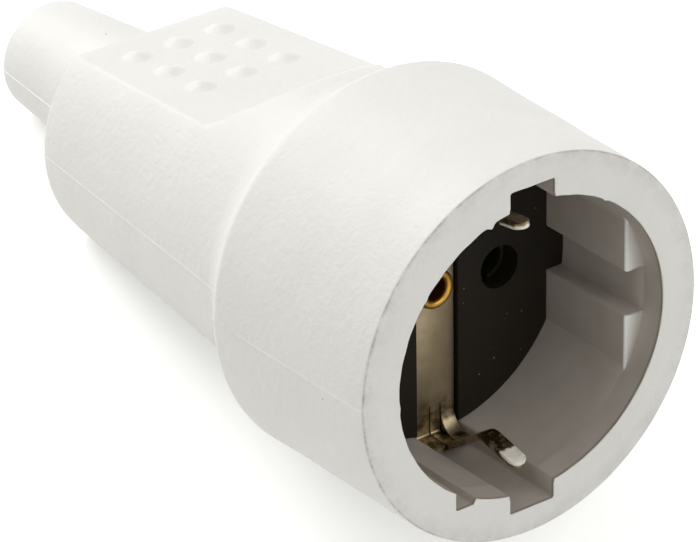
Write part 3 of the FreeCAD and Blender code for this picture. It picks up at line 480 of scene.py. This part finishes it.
bump = node(tree, "GeometryNodeSetPosition", {"Geometry": cone.outputs["Mesh"], "Position": rise.outputs[0]})
form = node(tree, "ShaderNodeCombineXYZ", {"X": given["Radius"], "Y": given["Radius"], "Z": given["Height"]})
studs = node(tree, "GeometryNodeInstanceOnPoints", {
    "Points": grid.outputs["Mesh"], "Instance": bump.outputs[0], "Scale": form.outputs[0]})
below = node(tree, "ShaderNodeMath", {0: given["Flat"], 1: given["Sink"]}, operation="SUBTRACT")
seat = node(tree, "ShaderNodeCombineXYZ", {"Y": given["Middle"], "Z": below.outputs[0]})
lean = node(tree, "ShaderNodeCombineXYZ", {"X": given["Tilt"]})
leaning = node(tree, "FunctionNodeEulerToRotation", {"Euler": lean.outputs[0]})
upper = node(tree, "GeometryNodeTransform", {"Geometry": studs.outputs[0], "Translation": seat.outputs[0],
                                             "Rotation": leaning.outputs[0]})
over = node(tree, "FunctionNodeEulerToRotation", {"Euler": (0.0, math.pi, 0.0)})
lower = node(tree, "GeometryNodeTransform", {"Geometry": upper.outputs[0], "Rotation": over.outputs[0]})
both = node(tree, "GeometryNodeJoinGeometry", {"Geometry": upper.outputs[0]})
tree.links.new(lower.outputs[0], both.inputs["Geometry"])
end_tree(tree, both.outputs[0], given)
studs = settle("grip_studs", [grown(tree, bpy.data.meshes.new("studs"), {
    "Across": STUD_ACROSS, "Along": STUD_ALONG, "Radius": STUD_RADIUS, "Height": STUD_HEIGHT,
    "Sink": STUD_SINK, "Tilt": -math.atan2(FLAT_FRONT - FLAT_BACK, GRIP_LENGTH - FLAT_PLACE),
    "Middle": STUD_MIDDLE, "Flat": float(flat_height(STUD_MIDDLE)), "Material": soft_pvc})])
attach(studs, "root")

# Contact carrier: a black thermoset moulding pushed in from the mouth until its tabs snap into the
# housing's slots. Its front plate carries the two pin holes and the groove for the earth strap.
CARRIER_EDGE = 0.12

# Phenolic from a plain tool: near black with a brown cast and a dull gloss, and dust that shows on it as
# pale dots. Its pits are drawn half a millimetre wide, coarser than they are, so that they show.
phenolic, tree, place = start_material("phenolic, moulded black")
cloud = node(tree, "ShaderNodeTexNoise", {"Vector": place, "Scale": per_metre(5.0), "Detail": 5.0})
black = node(tree, "ShaderNodeMix", {0: cloud.outputs["Fac"], 6: linear("#18140E"), 7: linear("#231D14")},
             data_type="RGBA")
front_on = node(tree, "ShaderNodeMapping", {"Vector": place, "Rotation": (-math.pi / 2, 0.0, 0.0)})
dust_cell = node(tree, "ShaderNodeTexVoronoi", {"Vector": front_on.outputs[0], "Scale": per_metre(2.2)},
                 voronoi_dimensions="2D")
dust_size = node(tree, "ShaderNodeSeparateColor", {"Color": dust_cell.outputs["Color"]})
dust_reach = node(tree, "ShaderNodeMapRange", {"Value": dust_size.outputs["Red"], "From Min": 0.55,
                                               "From Max": 1.0, "To Min": 0.0, "To Max": 0.055})
dust = node(tree, "ShaderNodeMath", {0: dust_cell.outputs["Distance"], 1: dust_reach.outputs["Result"]},
            operation="LESS_THAN")
dusty = node(tree, "ShaderNodeMix", {0: dust.outputs[0], 6: black.outputs[2], 7: linear("#7C766B")},
             data_type="RGBA")
fine = node(tree, "ShaderNodeTexNoise", {"Vector": place, "Scale": per_metre(0.5), "Detail": 4.0})
matt = node(tree, "ShaderNodeMapRange", {"Value": cloud.outputs["Fac"], "To Min": 0.55, "To Max": 0.75})
pitted = node(tree, "ShaderNodeBump", {"Height": fine.outputs["Fac"], "Strength": 0.2, "Distance": 0.00005})
shader = node(tree, "ShaderNodeBsdfPrincipled", {
    "Base Color": dusty.outputs[2], "Roughness": matt.outputs["Result"],
    "Normal": pitted.outputs["Normal"], "Specular IOR Level": 0.2})
node(tree, "ShaderNodeOutputMaterial", {"Surface": shader.outputs["BSDF"]})

shape = bmesh.new()
shape.from_mesh(frame["nodes"]["contact_carrier"].data)
bmesh.ops.remove_doubles(shape, verts=shape.verts, dist=2e-6)
bmesh.ops.dissolve_limit(shape, angle_limit=math.radians(0.5), verts=shape.verts, edges=shape.edges)
carrier_mesh = bpy.data.meshes.new("contact_carrier_moulded")
shape.to_mesh(carrier_mesh)
carrier = bpy.data.objects.new("contact_carrier_moulded", carrier_mesh)
bpy.context.scene.collection.objects.link(carrier)
edge = carrier.modifiers.new("moulded edge", "BEVEL")
edge.width, edge.segments, edge.limit_method = CARRIER_EDGE / 1000, 2, "ANGLE"
edge.angle_limit = math.radians(50)
carrier_mesh.shade_smooth()
carrier_mesh.set_sharp_from_angle(angle=math.radians(30))
carrier_mesh.materials.append(phenolic)
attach(carrier, "root")
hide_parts("contact_carrier")

# Earth strap: one strip of nickel-plated brass across the carrier. Each end is slit in three: the outer
# thirds bend forward as feet, and the middle third widens and springs up as the tongue that touches the
# plug. Sizes along the strip are those of its mid-line.
STRAP_THICKNESS, STRAP_FACE, STRAP_HALF = 0.8, 18.85, 2.95
STRAP_MIDDLE, FOOT_HEIGHT = STRAP_FACE + STRAP_THICKNESS / 2, -20.3
SLIT_ROOT, SLIT_EDGE, STEM_HALF, BLADE_HALF = 16.0, 0.87, 0.75, 1.2
FOOT_END, RISE_START = 15.6, 15.72
LEFT_BEND, RIGHT_BEND, RISE_BEND, HUMP_BEND = 0.8, 3.0, 1.1, 2.2
TIP, HUMP, TIP_RADIUS = (2.02, -16.71), (8.6, -15.38), 1.15
UPPER_TIP, UPPER_HUMP = (1.4, -15.8), (8.2, -14.8)
TIP_STEPS = (0.0, 0.05, 0.16, 0.34, 0.6, 0.9, 1.2, 1.8, 2.4, 3.0, 3.8, 4.6)
SHOULDER_STEPS = (1.0, 1.15)
ROOT_HEIGHTS = (17.2, 16.6, SLIT_ROOT - 0.1)
BEND_HEIGHTS = (19.2, 18.7, 18.2, 17.7)
FOOT_MIDDLE, FOOT_BACK = 16.8, 18.0
STRAP_EDGE, SLIP, SQUARE_END = 0.1, 0.004, 0.001
EYELET_TUBE = 1.9

tree, given = start_tree("bent strip", dict.fromkeys(
    ("Left", "Right", "Thickness", "Edge", "Tip Radius"), "Float"))
bend = node(tree, "GeometryNodeInputNamedAttribute", {"Name": "bend"}, data_type="FLOAT")
path = node(tree, "GeometryNodeMeshToCurve", {"Mesh": given["Base"]})
bent = node(tree, "GeometryNodeFilletCurve", {
    "Curve": path.outputs[0], "Count": 8, "Radius": bend.outputs["Attribute"], "Limit Radius": False},
    mode="POLY")
run = node(tree, "GeometryNodeSplineParameter")
measured = node(tree, "GeometryNodeStoreNamedAttribute", {
    "Geometry": bent.outputs[0], "Name": "along", "Value": run.outputs["Length"]},
    data_type="FLOAT", domain="POINT")
level = node(tree, "GeometryNodeSetCurveNormal", {"Curve": measured.outputs[0], "Normal": (1.0, 0.0, 0.0)},
             mode="FREE")
width = node(tree, "ShaderNodeMath", {0: given["Right"], 1: given["Left"]}, operation="SUBTRACT")
section = node(tree, "GeometryNodeCurvePrimitiveQuadrilateral", {"Width": width.outputs[0],
                                                                 "Height": given["Thickness"]})
soft = node(tree, "GeometryNodeFilletCurve", {"Curve": section.outputs[0], "Count": 3,
                                              "Radius": given["Edge"]}, mode="POLY")
swept = node(tree, "GeometryNodeCurveToMesh", {"Curve": level.outputs[0], "Profile Curve": soft.outputs[0],
                                               "Fill Caps": True})
# The tip's half circle: the strip narrows over the first length of the tip's radius
along = node(tree, "GeometryNodeInputNamedAttribute", {"Name": "along"}, data_type="FLOAT")
from_end = node(tree, "ShaderNodeMath", {0: along.outputs["Attribute"], 1: SQUARE_END}, operation="ADD")
share = node(tree, "ShaderNodeMath", {0: from_end.outputs[0], 1: given["Tip Radius"]}, operation="DIVIDE")
left_over = node(tree, "ShaderNodeMath", {0: 1.0, 1: share.outputs[0]}, operation="SUBTRACT", use_clamp=True)
square = node(tree, "ShaderNodeMath", {0: left_over.outputs[0], 1: left_over.outputs[0]},
              operation="MULTIPLY")
rest = node(tree, "ShaderNodeMath", {0: 1.0, 1: square.outputs[0]}, operation="SUBTRACT")
narrow = node(tree, "ShaderNodeMath", {0: rest.outputs[0]}, operation="SQRT")
middle = node(tree, "ShaderNodeMath", {0: given["Left"], 1: given["Right"]}, operation="ADD")
halved = node(tree, "ShaderNodeMath", {0: middle.outputs[0], 1: 0.5}, operation="MULTIPLY")
where = node(tree, "GeometryNodeInputPosition")
parts = node(tree, "ShaderNodeSeparateXYZ", {"Vector": where.outputs[0]})
across_strip = node(tree, "ShaderNodeMath", {
    0: parts.outputs["X"], 1: narrow.outputs[0], 2: halved.outputs[0]}, operation="MULTIPLY_ADD")
shaped = node(tree, "ShaderNodeCombineXYZ", {"X": across_strip.outputs[0], "Y": parts.outputs["Y"],
                                             "Z": parts.outputs["Z"]})
strip = node(tree, "GeometryNodeSetPosition", {"Geometry": swept.outputs[0], "Position": shaped.outputs[0]})
end_tree(tree, strip.outputs[0], given)

# Nickel plate over brass, years of plugs on it: yellowish grey, scorched brown by sparks over the tongues'
# humps, with the same brown above the bends and on the feet as partly scorch and partly painted dark
# reflection, drawn darker under the tips, and rubbed to a pale bare patch at the tongues' tips whose
# near-white is painted highlight.
# Its rub marks are drawn a quarter of a millimetre apart, wider than they are, so that they show.
nickel, shades, place = start_material("nickel plate, tarnished")
stain = node(shades, "ShaderNodeTexNoise", {"Vector": place, "Scale": per_metre(2.2), "Detail": 7.0,
                                            "Roughness": 0.65})
tarnish = node(shades, "ShaderNodeMix", {0: stain.outputs["Fac"], 6: linear("#BDAF93"), 7: linear("#8E7D5F")},
               data_type="RGBA")
scorch_and_reflection = node(shades, "ShaderNodeAttribute", attribute_name="scorch_and_reflection")
smudge = node(shades, "ShaderNodeTexNoise", {"Vector": place, "Scale": per_metre(1.3), "Detail": 5.0})
patchy = node(shades, "ShaderNodeMapRange", {"Value": smudge.outputs["Fac"], "From Min": 0.4,
                                             "From Max": 0.62})
# Brown where the attribute is high: spark scorch, and painted dark reflection on the bends and feet
scorch_and_reflection_mask = node(shades, "ShaderNodeMath", {0: scorch_and_reflection.outputs["Fac"], 1: patchy.outputs["Result"]},
              operation="MULTIPLY")
scorched_and_reflecting = node(shades, "ShaderNodeMix", {0: scorch_and_reflection_mask.outputs[0], 6: tarnish.outputs[2], 7: linear("#4A3D28")},
                data_type="RGBA")
worn_and_highlit = node(shades, "ShaderNodeAttribute", attribute_name="worn_and_highlit")
wear = node(shades, "ShaderNodeTexNoise", {"Vector": place, "Scale": per_metre(0.6), "Detail": 4.0})
rough_wear_and_highlight = node(shades, "ShaderNodeMath", {0: wear.outputs["Fac"], 1: 0.8, 2: worn_and_highlit.outputs["Fac"]},
                  operation="MULTIPLY_ADD")
# The rubbed patch at the tips is drawn near-white and not metal: real wear with a painted highlight on it
bare_and_highlit = node(shades, "ShaderNodeMapRange", {"Value": rough_wear_and_highlight.outputs[0], "From Min": 0.8,
                                           "From Max": 1.05})
tip_highlight = node(shades, "ShaderNodeMix", {0: patchy.outputs["Result"], 6: linear("#FFFDF6"),
                                        7: linear("#E9E0CC")}, data_type="RGBA")
rubbed_and_highlit = node(shades, "ShaderNodeMix", {0: bare_and_highlit.outputs["Result"], 6: scorched_and_reflecting.outputs[2],
                                               7: tip_highlight.outputs[2]}, data_type="RGBA")
dull = node(shades, "ShaderNodeMapRange", {"Value": stain.outputs["Fac"], "To Min": 0.3, "To Max": 0.5})
rub = node(shades, "ShaderNodeTexNoise", {"Vector": place, "Scale": per_metre(0.25), "Detail": 3.0})
rubbed = node(shades, "ShaderNodeBump", {"Height": rub.outputs["Fac"], "Strength": 0.15, "Distance": 0.00003})
scratched = node(shades, "ShaderNodeMapRange", {"Value": bare_and_highlit.outputs["Result"], "To Min": 1.0,
                                                "To Max": 0.0})
shader = node(shades, "ShaderNodeBsdfPrincipled", {
    "Base Color": rubbed_and_highlit.outputs[2], "Metallic": scratched.outputs["Result"],
    "Roughness": dull.outputs["Result"], "Normal": rubbed.outputs["Normal"]})
node(shades, "ShaderNodeOutputMaterial", {"Surface": shader.outputs["BSDF"]})


def strip_of(corners, left, right, thickness, tip_radius=SQUARE_END):
    """Bent strip along corners of depth, height and bend radius."""
    line = bpy.data.meshes.new("path")
    line.from_pydata([(0, depth, height) for depth, height, _ in corners],
                     [(k, k + 1) for k in range(len(corners) - 1)], [])
    line.attributes.new("bend", "FLOAT", "POINT").data.foreach_set("value", [bend for *_, bend in corners])
    return grown(tree, line, {"Left": left, "Right": right, "Thickness": thickness, "Edge": STRAP_EDGE,
                              "Tip Radius": tip_radius, "Material": nickel})


def towards(start, end, distances):
    """Points on the line from one corner to another, at distances from the first."""
    step = np.subtract(end, start) / np.linalg.norm(np.subtract(end, start))
    return [(*(np.array(start) + step * distance), 0.0) for distance in distances]


strips = []
rise_start = (RISE_START, FOOT_HEIGHT)
for up, tip, hump in ((1, TIP, HUMP), (-1, UPPER_TIP, UPPER_HUMP)):
    shoulder, stem_end = towards(rise_start, hump, SHOULDER_STEPS)

    def leg(*corners):
        return [(depth, height * up, bend) for depth, height, bend in corners]

    root = [(STRAP_MIDDLE, -height, 0.0) for height in ROOT_HEIGHTS]
    low_root = [(STRAP_MIDDLE, -height, 0.0) for height in BEND_HEIGHTS] + root
    left_foot = leg((FOOT_END, FOOT_HEIGHT, 0.0), (FOOT_MIDDLE, FOOT_HEIGHT, 0.0),
                    (FOOT_BACK, FOOT_HEIGHT, 0.0), (STRAP_MIDDLE, FOOT_HEIGHT, LEFT_BEND), *low_root)
    right_foot = leg((FOOT_END, FOOT_HEIGHT, 0.0), (STRAP_MIDDLE, FOOT_HEIGHT, RIGHT_BEND), *root)
    stem = leg(stem_end, (*rise_start, RISE_BEND), (FOOT_BACK, FOOT_HEIGHT, 0.0),
               (STRAP_MIDDLE, FOOT_HEIGHT, LEFT_BEND), *low_root)
    blade = leg(*towards(tip, hump, TIP_STEPS), (*hump, HUMP_BEND), shoulder)
    strips += [strip_of(left_foot, -STRAP_HALF, -SLIT_EDGE, STRAP_THICKNESS - SLIP),
               strip_of(right_foot, SLIT_EDGE, STRAP_HALF, STRAP_THICKNESS - SLIP),
               strip_of(stem, -STEM_HALF, STEM_HALF, STRAP_THICKNESS - SLIP),
               strip_of(blade, -BLADE_HALF, BLADE_HALF, STRAP_THICKNESS, TIP_RADIUS)]
plate = strip_of([(STRAP_MIDDLE, height, 0.0) for height in np.linspace(-SLIT_ROOT, SLIT_ROOT, 41)],
                 -STRAP_HALF, STRAP_HALF, STRAP_THICKNESS)
drill = bmesh.new()
bmesh.ops.create_cone(drill, cap_ends=True, segments=48, radius1=EYELET_TUBE, radius2=EYELET_TUBE,
                      depth=4 * STRAP_THICKNESS,
                      matrix=Matrix.Translation((0, STRAP_MIDDLE, 0)) @ Matrix.Rotation(math.pi / 2, 4, "X"))
drill_mesh = bpy.data.meshes.new("drill")
drill.to_mesh(drill_mesh)
drilled, cutter = (bpy.data.objects.new(mesh.name, mesh) for mesh in (plate, drill_mesh))
for stand in (drilled, cutter):
    bpy.context.scene.collection.objects.link(stand)
hole = drilled.modifiers.new("eyelet hole", "BOOLEAN")
hole.object, hole.operation, hole.solver = cutter, "DIFFERENCE", "EXACT"
strips.append(bpy.data.meshes.new_from_object(drilled.evaluated_get(bpy.context.evaluated_depsgraph_get())))
for stand in (drilled, cutter):
    bpy.data.objects.remove(stand)
strap = settle("earth_strap_plated", strips)

# Where the strip is drawn brown, as scorch and as painted dark reflection, and where it is rubbed bare under
# a painted highlight, eased in and out by depth and by height
seats = np.empty(len(strap.data.vertices) * 3)
strap.data.vertices.foreach_get("co", seats)
_, depth, height = ((seats.reshape(-1, 3) - np.array(rim_centre)) @ np.array(socket_axes) * 1000).T
blade_height = np.where(height < 0, np.interp(depth, *np.transpose([TIP, HUMP])),
                        -np.interp(depth, *np.transpose([UPPER_TIP, UPPER_HUMP])))
inner_face = np.abs(height) < np.abs(blade_height)
height = np.abs(height)
ease = lambda value, low, high: np.clip((value - low) / (high - low), 0, 1)
# Above the bends and on the feet the brown is partly scorch and partly painted dark reflection
above_bend = ease(height, 14.4, 17.0) * ease(height, 19.3, 18.3) * (depth > FOOT_BACK)
on_foot = ease(height, 18.9, 19.5) * ease(depth, 19.0, 18.4) * ease(depth, 12.5, 14.5)
on_hump = ease(depth, 13.5, 11.0) * ease(depth, 4.4, 5.6) * inner_face
# Under the tips the strip is drawn darker
under_tip = ease(depth, 9.0, 7.0) * ~inner_face
on_tip = ease(depth, 5.4, 4.2) * inner_face
scorch_and_reflection_zones = np.maximum.reduce([above_bend, 1.1 * on_foot, 2.3 * on_hump, 0.9 * under_tip])
for name, values in (("scorch_and_reflection", scorch_and_reflection_zones), ("worn_and_highlit", on_tip)):
    strap.data.attributes.new(name, "FLOAT", "POINT").data.foreach_set("value", values.astype(np.float32))
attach(strap, "root")
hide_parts("earth_strap")

# Earth eyelet: a short tube of drawn brass through strap, carrier and lug. Its front end is rolled over
# into a ring and its back end is flared, so it holds the three together and carries the earth current.
EYELET_BORE, EYELET_HEAD, HEAD_HEIGHT = 1.5, 2.6, 0.6
FRONT_ROLL, BACK_ROLL, TUBE_START = 0.5, 0.4, 1.0
PLATE_THICKNESS, LUG_THICKNESS = 4.0, 1.0
LUG_BACK = RECESS_DEPTH + PLATE_THICKNESS + LUG_THICKNESS

# Drawn brass: a deep gold that shines at the rolled edge, clouded by handling.
brass, shades, place = start_material("brass, drawn and handled")
patina = node(shades, "ShaderNodeTexNoise", {"Vector": place, "Scale": per_metre(1.6), "Detail": 6.0})
golden = node(shades, "ShaderNodeMix", {0: patina.outputs["Fac"], 6: linear("#D2A34C"), 7: linear("#9A7430")},
              data_type="RGBA")
handled = node(shades, "ShaderNodeMapRange", {"Value": patina.outputs["Fac"], "To Min": 0.24, "To Max": 0.42})
shader = node(shades, "ShaderNodeBsdfPrincipled", {"Base Color": golden.outputs[2], "Metallic": 1.0,
                                                   "Roughness": handled.outputs["Result"]})
node(shades, "ShaderNodeOutputMaterial", {"Surface": shader.outputs["BSDF"]})

tree, given = start_tree("rolled eyelet", {"Bore": "Float", "Sides": "Int"})
wall = node(tree, "GeometryNodeMeshToCurve", {"Mesh": given["Base"]})
circle = node(tree, "GeometryNodeCurvePrimitiveCircle", {"Resolution": given["Sides"],
                                                         "Radius": given["Bore"]})
standing = node(tree, "GeometryNodeSetCurveNormal", {"Curve": circle.outputs[0], "Normal": (0.0, 0.0, 1.0)},
                mode="FREE")
rolled = node(tree, "GeometryNodeCurveToMesh", {"Curve": standing.outputs[0],
                                                "Profile Curve": wall.outputs[0]})
facing = node(tree, "FunctionNodeEulerToRotation", {"Euler": (-math.pi / 2, 0.0, 0.0)})
lying = node(tree, "GeometryNodeTransform", {"Geometry": rolled.outputs[0], "Rotation": facing.outputs[0]})
end_tree(tree, lying.outputs[0], given)
head, tube = EYELET_HEAD - EYELET_BORE, EYELET_TUBE - EYELET_BORE
front, back = STRAP_FACE - HEAD_HEIGHT, LUG_BACK + HEAD_HEIGHT
wall_line = rounded([(STRAP_FACE + TUBE_START, 0.0), (front, 0.0, FRONT_ROLL), (front, head, FRONT_ROLL),
                     (STRAP_FACE, head), (STRAP_FACE, tube), (LUG_BACK, tube), (LUG_BACK, head),
                     (back, head, BACK_ROLL), (back, 0.0, BACK_ROLL), (STRAP_FACE + TUBE_START, 0.0)], 6)[:-1]
wall_mesh = bpy.data.meshes.new("wall")
wall_mesh.from_pydata([(depth, out, 0.0) for depth, out in wall_line],
                      [(k, (k + 1) % len(wall_line)) for k in range(len(wall_line))], [])
eyelet = settle("earth_eyelet_rolled", [grown(tree, wall_mesh, {
    "Bore": EYELET_BORE, "Sides": 64, "Material": brass})])
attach(eyelet, "root")
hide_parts("earth_eyelet")

# Contacts and earth lug: turned brass sleeves behind the pin holes, gripped by the carrier's chambers, and
# a bent brass strip that the eyelet holds. Each ends in a screw terminal in the wiring space.


def dress(name, material):
    """Give a piece of the frame its finish."""
    piece = frame["nodes"][name]
    piece.data.materials.clear()
    piece.data.materials.append(material)


# Brass that years of plugs and sparks have darkened: olive brown, with only a dull glint in the holes.
aged, shades, place = start_material("brass, dark with age")
film = node(shades, "ShaderNodeTexNoise", {"Vector": place, "Scale": per_metre(1.8), "Detail": 5.0})
olive = node(shades, "ShaderNodeMix", {0: film.outputs["Fac"], 6: linear("#5C5E40"), 7: linear("#3A3E2C")},
             data_type="RGBA")
shader = node(shades, "ShaderNodeBsdfPrincipled", {"Base Color": olive.outputs[2], "Metallic": 1.0,
                                                   "Roughness": 0.5})
node(shades, "ShaderNodeOutputMaterial", {"Surface": shader.outputs["BSDF"]})
for name in ("line_contact", "neutral_contact"):
    dress(name, aged)
dress("earth_lug", brass)

# Terminal screws, washer, clamp screws and nuts: small hardware of zinc-plated steel, inside where the
# cord is wired. The screws are cold-headed and slotted, and the nuts sit in pockets of the carrier.

# Zinc plate: pale bluish grey with a satin shine and the cloudy bloom of a barrel-plated finish.
zinc, tree, place = start_material("zinc-plated steel")
bloom = node(tree, "ShaderNodeTexNoise", {"Vector": place, "Scale": per_metre(1.2), "Detail": 4.0})
pale = node(tree, "ShaderNodeMix", {0: bloom.outputs["Fac"], 6: linear("#C6C8CB"), 7: linear("#A4A6A8")},
            data_type="RGBA")
satin = node(tree, "ShaderNodeMapRange", {"Value": bloom.outputs["Fac"], "To Min": 0.28, "To Max": 0.45})
shader = node(tree, "ShaderNodeBsdfPrincipled", {"Base Color": pale.outputs[2], "Metallic": 1.0,
                                                 "Roughness": satin.outputs["Result"]})
node(tree, "ShaderNodeOutputMaterial", {"Surface": shader.outputs["BSDF"]})
for name in ("terminal_screws", "earth_washer", "cord_clamp_screws", "cord_clamp_nuts"):
    dress(name, zinc)

# Cord clamp bar: a moulded bar that two screws pull down over the cord behind the terminals, so that a
# tug on the cord doesn't reach them.

# Moulded polyamide: plain light grey with a faint haze and a soft gloss.
polyamide, tree, place = start_material("polyamide, moulded grey")
haze = node(tree, "ShaderNodeTexNoise", {"Vector": place, "Scale": per_metre(2.0), "Detail": 4.0})
grey = node(tree, "ShaderNodeMix", {0: haze.outputs["Fac"], 6: linear("#BDBDB8"), 7: linear("#A9A9A3")},
            data_type="RGBA")
shader = node(tree, "ShaderNodeBsdfPrincipled", {"Base Color": grey.outputs[2], "Roughness": 0.5,
                                                 "IOR": 1.53})
node(tree, "ShaderNodeOutputMaterial", {"Surface": shader.outputs["BSDF"]})
dress("cord_clamp_bar", polyamide)

# Floor: a wide sheet of white paper under the socket. It keeps the socket's soft shadow and is lifted to
# white for the camera and for reflections only.
FLOOR_HALF, FLOOR_LIFT = 2.0, 0.45
floor = mesh_piece("floor", [(-FLOOR_HALF, -FLOOR_HALF, 0), (FLOOR_HALF, -FLOOR_HALF, 0),
                             (FLOOR_HALF, FLOOR_HALF, 0), (-FLOOR_HALF, FLOOR_HALF, 0)], [(0, 1, 2, 3)])

# Uncoated paper: matt white with no gloss at all.
paper, tree, place = start_material("white paper")
path = node(tree, "ShaderNodeLightPath")
seen = node(tree, "ShaderNodeMath", {0: path.outputs["Is Camera Ray"], 1: path.outputs["Is Glossy Ray"]},
            operation="MAXIMUM")
lift = node(tree, "ShaderNodeMath", {0: seen.outputs[0], 1: FLOOR_LIFT}, operation="MULTIPLY")
matt_white = node(tree, "ShaderNodeBsdfDiffuse", {"Color": linear("#F2F2F0")})
glow = node(tree, "ShaderNodeEmission", {"Strength": lift.outputs[0]})
both = node(tree, "ShaderNodeAddShader", {0: matt_white.outputs[0], 1: glow.outputs[0]})
node(tree, "ShaderNodeOutputMaterial", {"Surface": both.outputs[0]})
floor.data.materials.append(paper)

# Light: a broad softbox overhead, one behind with a weak fill to its left, and two small ones in front
# that reach into the recess. The world is white to the camera and in reflections, and dim as a light.
WORLD_LIGHT = 0.44
world = bpy.data.worlds.new("studio")
world.use_nodes = True
world.node_tree.nodes.clear()
tree = world.node_tree
path = node(tree, "ShaderNodeLightPath")
straight = node(tree, "ShaderNodeMath", {
    0: path.outputs["Is Camera Ray"], 1: path.outputs["Is Transmission Ray"]}, operation="MAXIMUM")
shown = node(tree, "ShaderNodeMath", {0: straight.outputs[0], 1: path.outputs["Is Glossy Ray"]},
             operation="MAXIMUM")
level = node(tree, "ShaderNodeMapRange", {"Value": shown.outputs[0], "To Min": WORLD_LIGHT, "To Max": 1.0})
sky = node(tree, "ShaderNodeBackground", {"Color": linear("#FFFFFF"), "Strength": level.outputs["Result"]})
node(tree, "ShaderNodeOutputWorld", {"Surface": sky.outputs[0]})
bpy.context.scene.world = world


def softbox(name, place, target, side, watts):
    """Square area lamp at a place in metres, turned to a target."""
    lamp = bpy.data.lights.new(name, "AREA")
    lamp.shape = "RECTANGLE"
    lamp.size, lamp.size_y, lamp.energy = side, side, watts
    box = bpy.data.objects.new(name, lamp)
    box.location = place
    box.rotation_euler = (Vector(target) - Vector(place)).to_track_quat("-Z", "Y").to_euler()
    bpy.context.scene.collection.objects.link(box)


softbox("overhead_softbox", (-0.15, 0.35, 0.75), (0, 0, 0.02), 0.9, 1.5)
softbox("rear_softbox", (-0.1, 0.8, 0.45), (0, 0.02, 0.02), 0.5, 3.0)
softbox("rear_left_fill", (-0.22, 0.6, 0.15), (0, 0.02, 0.02), 0.3, 0.5)
softbox("front_right_fill", (0.3, -0.5, 0.45), (0, -0.04, 0.02), 0.25, 0.55)
softbox("front_top_fill", (0.0, -0.35, 0.6), (0, -0.04, 0.02), 0.3, 0.5)

# Camera: a long lens from above and to the left of the mouth, at the photograph's viewing angle. Its
# angles and its aim, in millimetres, are on the socket's own axes.
AZIMUTH, ELEVATION, ROLL = (math.radians(a) for a in (36.597, 28.433, -0.889))
AIM, DISTANCE, LENS, SENSOR = (0.0, 35.879, -4.840), 674.865, 284.83, 36.0
level_right = Vector((math.cos(AZIMUTH), -math.sin(AZIMUTH), 0))
level_above = Vector((math.sin(AZIMUTH) * math.sin(ELEVATION), math.cos(AZIMUTH) * math.sin(ELEVATION),
                      math.cos(ELEVATION)))
right = level_right * math.cos(ROLL) + level_above * math.sin(ROLL)
above = level_above * math.cos(ROLL) - level_right * math.sin(ROLL)
view = Matrix((socket_axes @ right, socket_axes @ above, socket_axes @ right.cross(above))).transposed()
lens = bpy.data.cameras.new("camera")
lens.lens, lens.sensor_width = LENS, SENSOR
lens.clip_start, lens.clip_end = 0.05, 20.0
camera = bpy.data.objects.new("camera", lens)
stand = rim_centre + socket_axes @ Vector(AIM) / 1000 + view.col[2] * DISTANCE / 1000
camera.matrix_world = Matrix.Translation(stand) @ view.to_4x4()
bpy.context.scene.collection.objects.link(camera)
bpy.context.scene.camera = camera
bpy.context.scene.view_settings.view_transform = "Standard"
